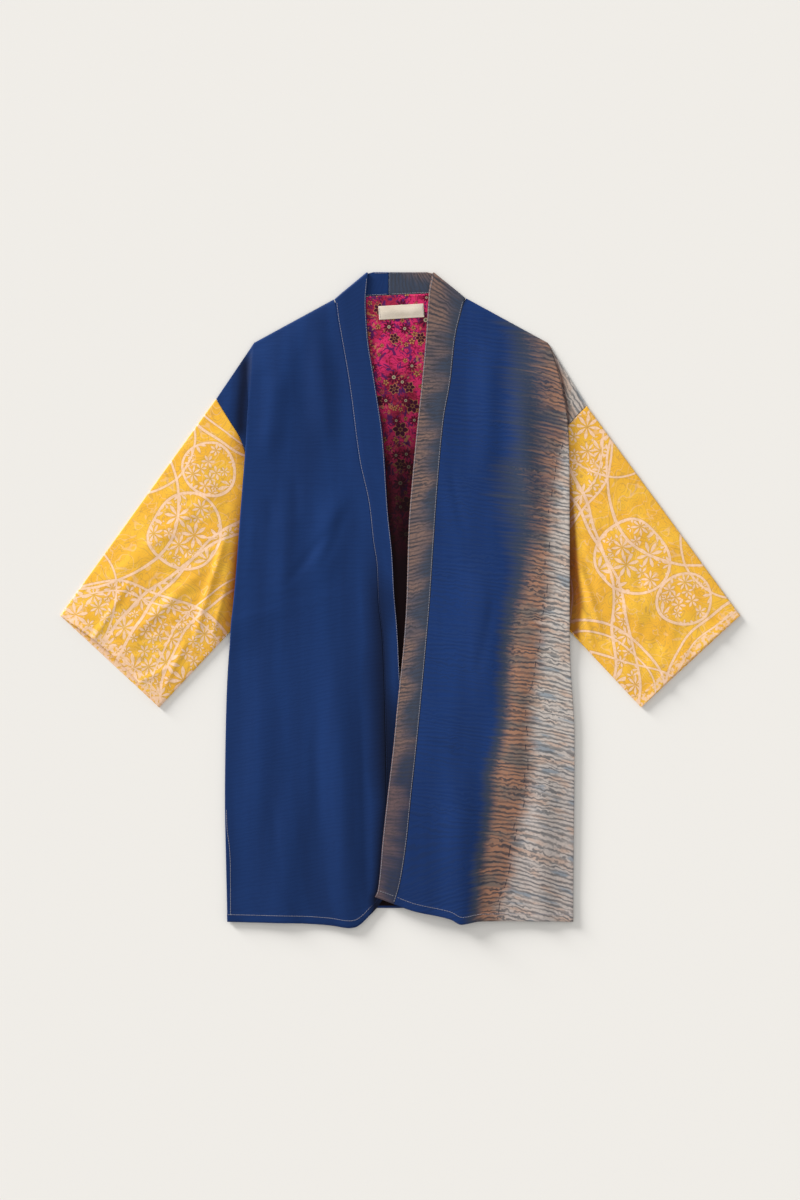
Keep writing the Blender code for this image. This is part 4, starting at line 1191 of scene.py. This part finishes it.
# The deep shade beside the body: how far it reaches and its greatest share. It fades over the whole
# reach on the left sleeve and over part of it on the right one.
LEFT_SLEEVE_SHADE = table(
    "y reach most",
    (0.24, 0.026, 0.4), (0.216, 0.028, 0.7), (0.162, 0.018, 0.32), (0.108, 0.019, 0.66),
    (0.054, 0.0165, 0.98), (0.0135, 0.022, 0.96), (-0.0135, 0.028, 0.84), (-0.034, 0.032, 0.72),
)
RIGHT_SLEEVE_SHADE = table(
    "y reach most",
    (0.24, 0.001, 0.1), (0.18, 0.004, 0.15), (0.15, 0.006, 0.55), (0.108, 0.0098, 0.82),
    (0.054, 0.0155, 0.93), (0.0135, 0.0205, 0.92), (-0.0135, 0.0235, 0.84), (-0.034, 0.018, 0.8),
)
LEFT.update(cuff_bow=0.0090, upper_fold=0.0006, shade_fade=1.0)
LEFT.update(sleeve_folds=LEFT_SLEEVE_FOLDS, sleeve_shade=LEFT_SLEEVE_SHADE)
RIGHT.update(cuff_bow=0.0020, upper_fold=0.0014, shade_fade=0.45)
RIGHT.update(sleeve_folds=RIGHT_SLEEVE_FOLDS, sleeve_shade=RIGHT_SLEEVE_SHADE)


def on_line(line, run, at):
    """The vectors along a line at given distances, in straight runs between its points."""
    return vectors(*(np.interp(at, run, part) for part in line.T))


def sleeve_points(side):
    """Rings round the flattened sleeve, armhole to cuff: front, lower edge, back, upper edge.

    A ring's points slide in straight lines from the armhole to the cuff. Half circles join the front
    and the back layer at both edges, and the front comes down towards the upper fold's smaller one."""
    upper, lower = (radius + CLOTH / 2 for radius in (side["upper_fold"], SLEEVE_EDGE_RADIUS))
    cuff_top, cuff_bottom = np.array(CUFF_TOP), np.array(CUFF_BOTTOM)
    cuff_width = np.linalg.norm(cuff_bottom - cuff_top)
    seam_y = np.linspace(side["edge"]["seam_y"][0], SHOULDER_SEAM_END_Y, ARMHOLE_SAMPLES)
    line = vectors(read(side["seam"], "out", seam_y), seam_y)
    length = walked(line)

    def root_at(shares):
        """Points just outside the armhole at shares of its length, and the ways along it."""
        root = on_line(line, length, shares * length[-1])
        slope = unit(np.gradient(root, axis=0))
        return root + vectors(-slope[:, 1], slope[:, 0]) * ARMHOLE_GAP, slope

    front = np.linspace(0, 1, SLEEVE_FRONT_COLUMNS)
    rear = np.linspace(1, 0, SLEEVE_BACK_COLUMNS)
    turn = np.linspace(90, -90, SLEEVE_EDGE_COLUMNS + 2)[1:-1]
    shares = np.concatenate([front, np.ones_like(turn), rear, np.zeros_like(turn)])
    angles = np.radians(np.concatenate([0 * front + 90, turn, 0 * rear - 90, turn - 180]))
    is_front = np.arange(len(shares)) < len(front)
    whole, ways = root_at(front)
    slant = []
    for end, cuff_end in ((0, cuff_top), (-1, cuff_bottom)):
        axis = unit(cuff_end - whole[end])
        slant.append(1 / abs(ways[end, 0] * axis[1] - ways[end, 1] * axis[0]))
    dense = np.linspace(0, 1, RING_SAMPLES)
    first, last = upper * slant[0] / length[-1], lower * slant[1] / length[-1]
    dense_root, dense_way = root_at(slide(first, 1 - last, dense))
    root = on_line(dense_root, dense, shares)
    root_way = on_line(dense_way, dense, shares) * np.where(shares == 0, *slant)[:, None]
    cuff_share = slide(upper, cuff_width - lower, shares) / cuff_width
    cuff = slide(cuff_top, cuff_bottom, cuff_share[:, None])
    radius = slide(side["upper_fold"], SLEEVE_EDGE_RADIUS, ease(shares / UPPER_FOLD_REACH))

    along = np.linspace(0, 1, SLEEVE_ROWS)[:, None]
    reach = np.linalg.norm(cuff - root, axis=1)
    middle = np.sin(np.pi * shares).clip(0) * is_front
    bow = side["cuff_bow"] * ease((along - CUFF_BOW_START) / (1 - CUFF_BOW_START)) * middle
    way = slide(root_way, unit(cuff_bottom - cuff_top), along[..., None])
    flat_plan = slide(root, cuff, along[..., None]) + unit(root - cuff) * bow[..., None]
    plan = flat_plan + way * (radius * np.cos(angles))[:, None]
    x, y = plan[..., 0], plan[..., 1]
    folds = fold_heights(side["sleeve_folds"], shares, along)
    for height, x_stretch, y_stretch, wavelength, seed in SLEEVE_WRINKLES:
        folds += height * ripple(x * x_stretch, y * y_stretch, wavelength, side["seed"] + seed)
    lift = ease((along * reach - SLEEVE_TUCK) / SLEEVE_TUCK) * np.sqrt(middle)
    points = raised(plan, BACK_LEVEL + radius * (1 + np.sin(angles)) + lift * (SLEEVE_PUFF + folds))

    top_way = unit(cuff_top - whole[0])
    from_top = flat_plan - whole[0]
    across = from_top @ (top_way[1], -top_way[0])
    place = vectors(from_top @ top_way, np.where(is_front | (shares == 1), across, -across), 0)
    from_cuff = (1 - along) * reach
    thickness = CLOTH + CUFF_EXTRA * is_front * (1 - ease((from_cuff - CUFF_HEM) / HEM_STEP))
    zone = vectors(from_cuff, side is LEFT, 0)
    from_body = x - read(side["edge"], "lip", y) - FOLD_RADIUS
    shade_reach = read(side["sleeve_shade"], "reach", y)
    shade = is_front * ease((shade_reach - from_body) / (shade_reach * side["shade_fade"]))
    shade = vectors(shade * read(side["sleeve_shade"], "most", y), 0, 0)
    points[..., 0] *= side["sign"]
    return [grid[:, :: side["sign"]] for grid in (points, thickness, place, zone, shade)]


# The print's curves, each an arc of a circle, by its middle along and across the cloth, its radius and
# the half width of its line. Flowers fill the fields between the first two, which cross, the next two
# circles, and the part of the fifth circle that lies outside the sixth.
SLEEVE_ARCS = (
    (0.08, 0.6, 0.51, 0.0018), (0.02, 0.5, 0.43, 0.0018), (0.286, 0.052, 0.036, 0.0017),
    (0.2, 0.072, 0.05, 0.0017), (-0.09, 0.15, 0.212, 0.0017), (0.16, -0.062, 0.122, 0.0018),
    (0.092, 0.318, 0.168, 0.0017), (0.092, 0.318, 0.182, 0.0012), (0.475, 0.03, 0.15, 0.0017),
    (0.475, 0.03, 0.136, 0.0012), (0.325, 0.235, 0.108, 0.0017), (0.325, 0.235, 0.094, 0.0012),
    (0.02, -0.03, 0.096, 0.0013), (-0.09, 0.15, 0.198, 0.0011), (0.56, 0.48, 0.41, 0.0014),
    (0.27, -0.04, 0.066, 0.0014),
)


@shader_group("place middle radius half_width", "inside into_line")
def arc_field(place, middle, radius, half_width):
    """How far a place lies inside a circle, and how far it lies inside the line drawn along it."""
    inside = radius - vector("DISTANCE", place, middle)[1]
    return inside, half_width - calc("ABSOLUTE", inside)


def sleeve_silk(cloth, zone):
    """Yellow silk printed with pale pink arcs that cross each other, small flowers of narrow petals in some
    of the fields between them, and fine brownish lines over the ground. The back's print mirrors the
    front's, and the left sleeve's runs the other way, from the cuff to the armhole."""
    from_cuff, turned = parts(zone)[:2]
    along, across = parts(cloth)[:2]
    print_along = turned * (along * -2.0 + PRINT_LENGTH) + along
    mirrored = node("CombineXYZ", {0: print_along, 1: calc("ABSOLUTE", across)})[0]
    bend = node("TexNoise", {"Vector": mirrored, "Scale": 9.0, "Detail": 1.0})[1]
    bend = vector("SUBTRACT", bend, (0.5, 0.5, 0.5))[0]
    drawn = vector("ADD", mirrored, vector("MULTIPLY", bend, (0.030, 0.030, 0))[0])[0]
    cloud = noise(cloth, 26, 26, detail=3)
    colour = mix(between(cloud, 0.40, 0.62), YELLOW_DEEP, YELLOW)
    for size, levels, share in ((0.050, 13.0, 0.090), (0.016, 7.0, 0.060)):
        colour = mix(curls(cloth, size, levels, share)[0] * 0.30, colour, INK)

    arcs = [arc_field(drawn, (*middle, 0), radius, half) for *middle, radius, half in SLEEVE_ARCS]
    fields, lines = zip(*arcs)
    apart = fields[0] * fields[1] * -1000
    beside = calc("MINIMUM", fields[4], fields[5] * -1.0)
    field = between(greatest(apart, fields[2], fields[3], beside), 0.0, 0.001)
    into_line = greatest(*lines)
    big, from_big, big_here = blossoms(mirrored, *BIG_FLOWERS)
    small, from_small, small_here = blossoms(mirrored, *SMALL_FLOWERS)
    clear = greatest(between(from_big, BIG_FLOWERS[1] * 0.90, BIG_FLOWERS[1]), 1 - big_here)
    outline = between(into_line, -0.0012, -0.0004)
    printed = between(into_line, -0.0003, 0.0004)
    for depth, share in ((big, big_here * field), (small, small_here * clear * field)):
        outline = greatest(outline, between(depth, -0.0008, -0.0003) * share)
        printed = greatest(printed, between(depth, -0.0001, 0.0005) * share)
    colour = mix(outline * 0.30, colour, INK)
    worn = between(noise(cloth, 300, 300), 0.3, 0.6) * 0.35 + 0.60
    veins = curls(cloth, 0.034, 4.0, 0.060)[0] * 0.30
    dots = between(noise(cloth, 190, 190), 0.42, 0.58)
    hem = between(CUFF_HEM - from_cuff, 0.0, 0.0006) * dots * 0.8
    return mix(greatest(printed * worn, veins, hem), colour, PETAL_PINK), cloud


SLEEVE_SILK = silk(sleeve_silk, "cloth", "zone", roughness=0.6)
for side, name, solid in (
    (LEFT, "left_sleeve_cloth", "sleeve_left"),
    (RIGHT, "right_sleeve_cloth", "sleeve_right"),
):
    points, thickness, cloth, zone, shade = sleeve_points(side)
    attributes = {"cloth": cloth, "zone": zone, "shade": shade}
    piece = cloth_piece(name, points, thickness, SLEEVE_SILK, attributes, tube=True)
    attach(piece, "root")
    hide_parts(solid)


# Stitches
# The topstitching in a pale greyish thread, in lines of short stitches: along both edges of the neck
# band and across its ends, above the fronts' hems, down the left vent and at the label's ends.

STITCH_PITCH = 0.0034
STITCH_LENGTH = 0.0029
THREAD_WIDTH = 0.00050
THREAD_HEIGHT = 0.00032
EDGE_INSET = 0.0014
END_SAMPLES = 40
VENT_START_ROW = 3
LABEL_STITCH_ROWS = np.linspace(1, 18, 12)
LABEL_STITCH_COLUMNS = (1.3, 57.7)
STITCH_RINGS = table("along size", (-0.50, 0.45), (-0.36, 1.00), (0.36, 1.00), (0.50, 0.45))
STITCH_SIDES = 6
THREAD_HIDES = 1.4
PLY_SLANT = 1.2
PLY_TURNS = 9000
THREAD = (0.360, 0.350, 0.390)
THREAD_SHADE = (0.190, 0.180, 0.220)

# The band's width and length, which turn a distance on it into columns and rows
STITCHED_WIDTH = 0.036
STITCHED_LENGTH = 0.81

# The left vent's stitches
LEFT_VENT = table(
    "y out",
    (-0.279, 0.2346), (-0.31, 0.2334), (-0.333, 0.2304), (-0.359, 0.2291), (-0.423, 0.2288),
)


def on_grid(values, rows, columns):
    """A grid's values at fractional rows and columns, blended from the four nearest points."""
    row = np.clip(np.floor(rows).astype(int), 0, values.shape[0] - 2)
    column = np.clip(np.floor(columns).astype(int), 0, values.shape[1] - 2)
    aside = (columns - column)[:, None]
    near = slide(values[row, column], values[row, column + 1], aside)
    far = slide(values[row + 1, column], values[row + 1, column + 1], aside)
    return slide(near, far, (rows - row)[:, None])


def stitch_line(points, thickness, rows, columns):
    """A line on a sheet's upper face, through fractional rows and columns: its points and the ways up."""
    rows, columns = np.broadcast_arrays(np.asarray(rows, float), np.asarray(columns, float))
    half = np.broadcast_to(np.asarray(thickness) / 2, points.shape[:2])[..., None]
    up = on_grid(grid_normals(points), rows, columns)
    up = unit(up) * np.sign(up[:, 2:])
    return on_grid(points, rows, columns) + up * (on_grid(half, rows, columns) + THREAD_HEIGHT / 2), up


def crossing(values, level):
    """For each column of a grid of rising values, the fractional row where it passes the level."""
    row = np.clip((values < level).sum(axis=0) - 1, 0, len(values) - 2)
    column = np.arange(values.shape[1])
    low = values[row, column]
    return row + (level - low) / (values[row + 1, column] - low)


def thread(cloth, shade):
    """Two-ply thread: its plies show as slanted darker lines, and its colour varies along its length. Beside
    the lapping band, painted shade turns it to the dark blue of the shaded cloth, by the second part of its
    attribute "shade"."""
    along, across = parts(cloth)[:2]
    ply = calc("SINE", (along + across * PLY_SLANT) * PLY_TURNS)
    colour = mix(ply * 0.20 + noise(cloth, 30, 30) * 0.6, THREAD, THREAD_SHADE)
    return mix(parts(shade)[1], colour, BLUE_DEEP), ply


THREAD_SILK = silk(thread, "cloth", "shade", roughness=0.6, sheen=0.05)


def stitches(name, lines, lapped=False):
    """One piece of short flattened beads at even steps along the given lines. Where the cloth is lapped, the
    deep shade beside the lapping band hides them: its share, times a factor, is the second part of their
    attribute "shade"."""
    rows = []
    for line, up in lines:
        run = walked(line)
        at = np.arange(STITCH_PITCH, run[-1] - STITCH_PITCH / 2, STITCH_PITCH)
        start, end = (on_line(line, run, at + shift) for shift in (-STITCH_LENGTH / 2, STITCH_LENGTH / 2))
        rows.append(np.column_stack([(start + end) / 2, unit(end - start), on_line(up, run, at), at]))
    centre, way, up, run = np.split(np.concatenate(rows)[:, None, None], (3, 6, 9), axis=-1)
    aside = unit(np.cross(up, way))
    angle = np.linspace(0, TURN, STITCH_SIDES, endpoint=False)[:, None]
    size = STITCH_RINGS["size"][:, None, None] / 2
    along = STITCH_RINGS["along"][:, None, None] * STITCH_LENGTH
    round_it = aside * np.cos(angle) * THREAD_WIDTH + up * np.sin(angle) * THREAD_HEIGHT
    beads = centre + way * along + round_it * size
    index = np.arange(beads[..., 0].size).reshape(beads.shape[:3])
    turned = np.roll(index, -1, axis=2)
    walls = vectors(index[:, :-1], turned[:, :-1], turned[:, 1:], index[:, 1:]).reshape(-1, 4)
    near_caps = [index[:, 0, corners] for corners in ([3, 2, 1, 0], [0, 5, 4, 3])]
    far_caps = [index[:, -1, corners] for corners in ([0, 1, 2, 3], [3, 4, 5, 0])]
    faces = np.concatenate([walls, *near_caps, *far_caps])
    place = vectors((run + along)[..., 0], angle[:, 0] * THREAD_WIDTH / 2, 0)
    # Painted shade: beside the lapping band this share colours the thread dark blue
    painted_shade = np.minimum(lap_shade(beads) * THREAD_HIDES, 1) * lapped
    piece = new_piece(name, beads, faces, {"cloth": place, "shade": vectors(0, painted_shade, 0)}, THREAD_SILK)
    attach(piece, "root")


neck_rows = np.arange(1, NECK_ROWS - 1)
band_rows = np.arange(NECK_ROWS + NECK_FOLD_STEPS + 1, len(left_band_points) - 1)
band_end = len(left_band_points) - 1 - HEM_DEPTH * BAND_ROWS / STITCHED_LENGTH
inset = EDGE_INSET / STITCHED_WIDTH * (BAND_COLUMNS - 1)
band_columns = (inset, BAND_COLUMNS - 1 - inset)
for name, points, thickness, lapped in (
    ("left_band_stitches", left_band_points, band_thickness, True),
    ("right_band_stitches", right_band_points, band_thickness[::-1], False),
):
    runs = [(rows, column) for column in band_columns for rows in (neck_rows, band_rows)]
    runs.append((band_end, np.linspace(*band_columns, END_SAMPLES)))
    stitches(name, [stitch_line(points, thickness, *run) for run in runs], lapped)

for name, points, thickness, lapped in (
    ("left_front_stitches", left_points, left_thickness, True),
    ("right_front_stitches", right_points, right_thickness, False),
):
    hem_rows = crossing(points[..., 1] - points[:1, :, 1], HEM_DEPTH)
    runs = [(hem_rows, np.arange(len(hem_rows)))]
    if points is left_points:
        vent_rows = np.arange(VENT_START_ROW, np.searchsorted(points[:, 0, 1], LEFT_VENT["y"][0]))
        vent_out = read(LEFT_VENT, "out", points[vent_rows, 0, 1])
        past = (np.abs(points[vent_rows, :, 0]).T - vent_out)[::-1]
        runs.append((vent_rows, points.shape[1] - 1 - crossing(past, 0.0)))
    stitches(name, [stitch_line(points, thickness, *run) for run in runs], lapped)

label_runs = [(LABEL_STITCH_ROWS, column) for column in LABEL_STITCH_COLUMNS]
stitches("label_stitches", [stitch_line(label_points, LABEL_CLOTH, *run) for run in label_runs])


# Floor, lights and camera
# A plain pale floor, a low key light from the upper left that throws the soft shadow to the lower
# right, soft light from above, and the camera looking straight down.

FLOOR_SIZE = 12.0
FLOOR_COLOUR = (0.80, 0.785, 0.755)
LIGHT_COLOUR = (1.0, 0.99, 0.975)
KEY_HEADING = -48
KEY_ELEVATION = 14
KEY_ANGLE = 20
KEY_STRENGTH = 5.2
SKY_STRENGTH = 0.68
CAMERA_X = -0.0003
CAMERA_HEIGHT = 4.5
FRAME_HEIGHT = 1.62
SENSOR = 36.0

floor_material = bpy.data.materials.new("floor")
floor_material.use_nodes = True
shader = floor_material.node_tree.nodes["Principled BSDF"].inputs
shader["Base Color"].default_value = (*FLOOR_COLOUR, 1)
shader["Roughness"].default_value = 0.9
corners = FLOOR_SIZE / 2 * np.array([(-1, -1, 0), (1, -1, 0), (1, 1, 0), (-1, 1, 0)])
floor = new_piece("floor", corners, np.array([(0, 1, 2, 3)]), {}, floor_material)

# The key light stands at a compass heading from +Y clockwise and an elevation, both in degrees, and
# looks as wide from the jacket as its angle
key = bpy.data.lights.new("key", "SUN")
key.energy = KEY_STRENGTH
key.angle = math.radians(KEY_ANGLE)
key.color = LIGHT_COLOUR
lamp = linked("key", key)
lamp.rotation_euler = (math.radians(90 - KEY_ELEVATION), 0, math.radians(180 - KEY_HEADING))

world = bpy.data.worlds.new("studio")
world.use_nodes = True
world.node_tree.nodes["Background"].inputs["Color"].default_value = (*LIGHT_COLOUR, 1)
world.node_tree.nodes["Background"].inputs["Strength"].default_value = SKY_STRENGTH
bpy.context.scene.world = world
bpy.context.scene.view_settings.view_transform = "Standard"

lens = bpy.data.cameras.new("camera")
lens.sensor_width = SENSOR
lens.sensor_height = SENSOR
lens.sensor_fit = "VERTICAL"
lens.lens = SENSOR * CAMERA_HEIGHT / FRAME_HEIGHT
camera = linked("camera", lens)
camera.location = (CAMERA_X, 0.0, CAMERA_HEIGHT)
bpy.context.scene.camera = camera
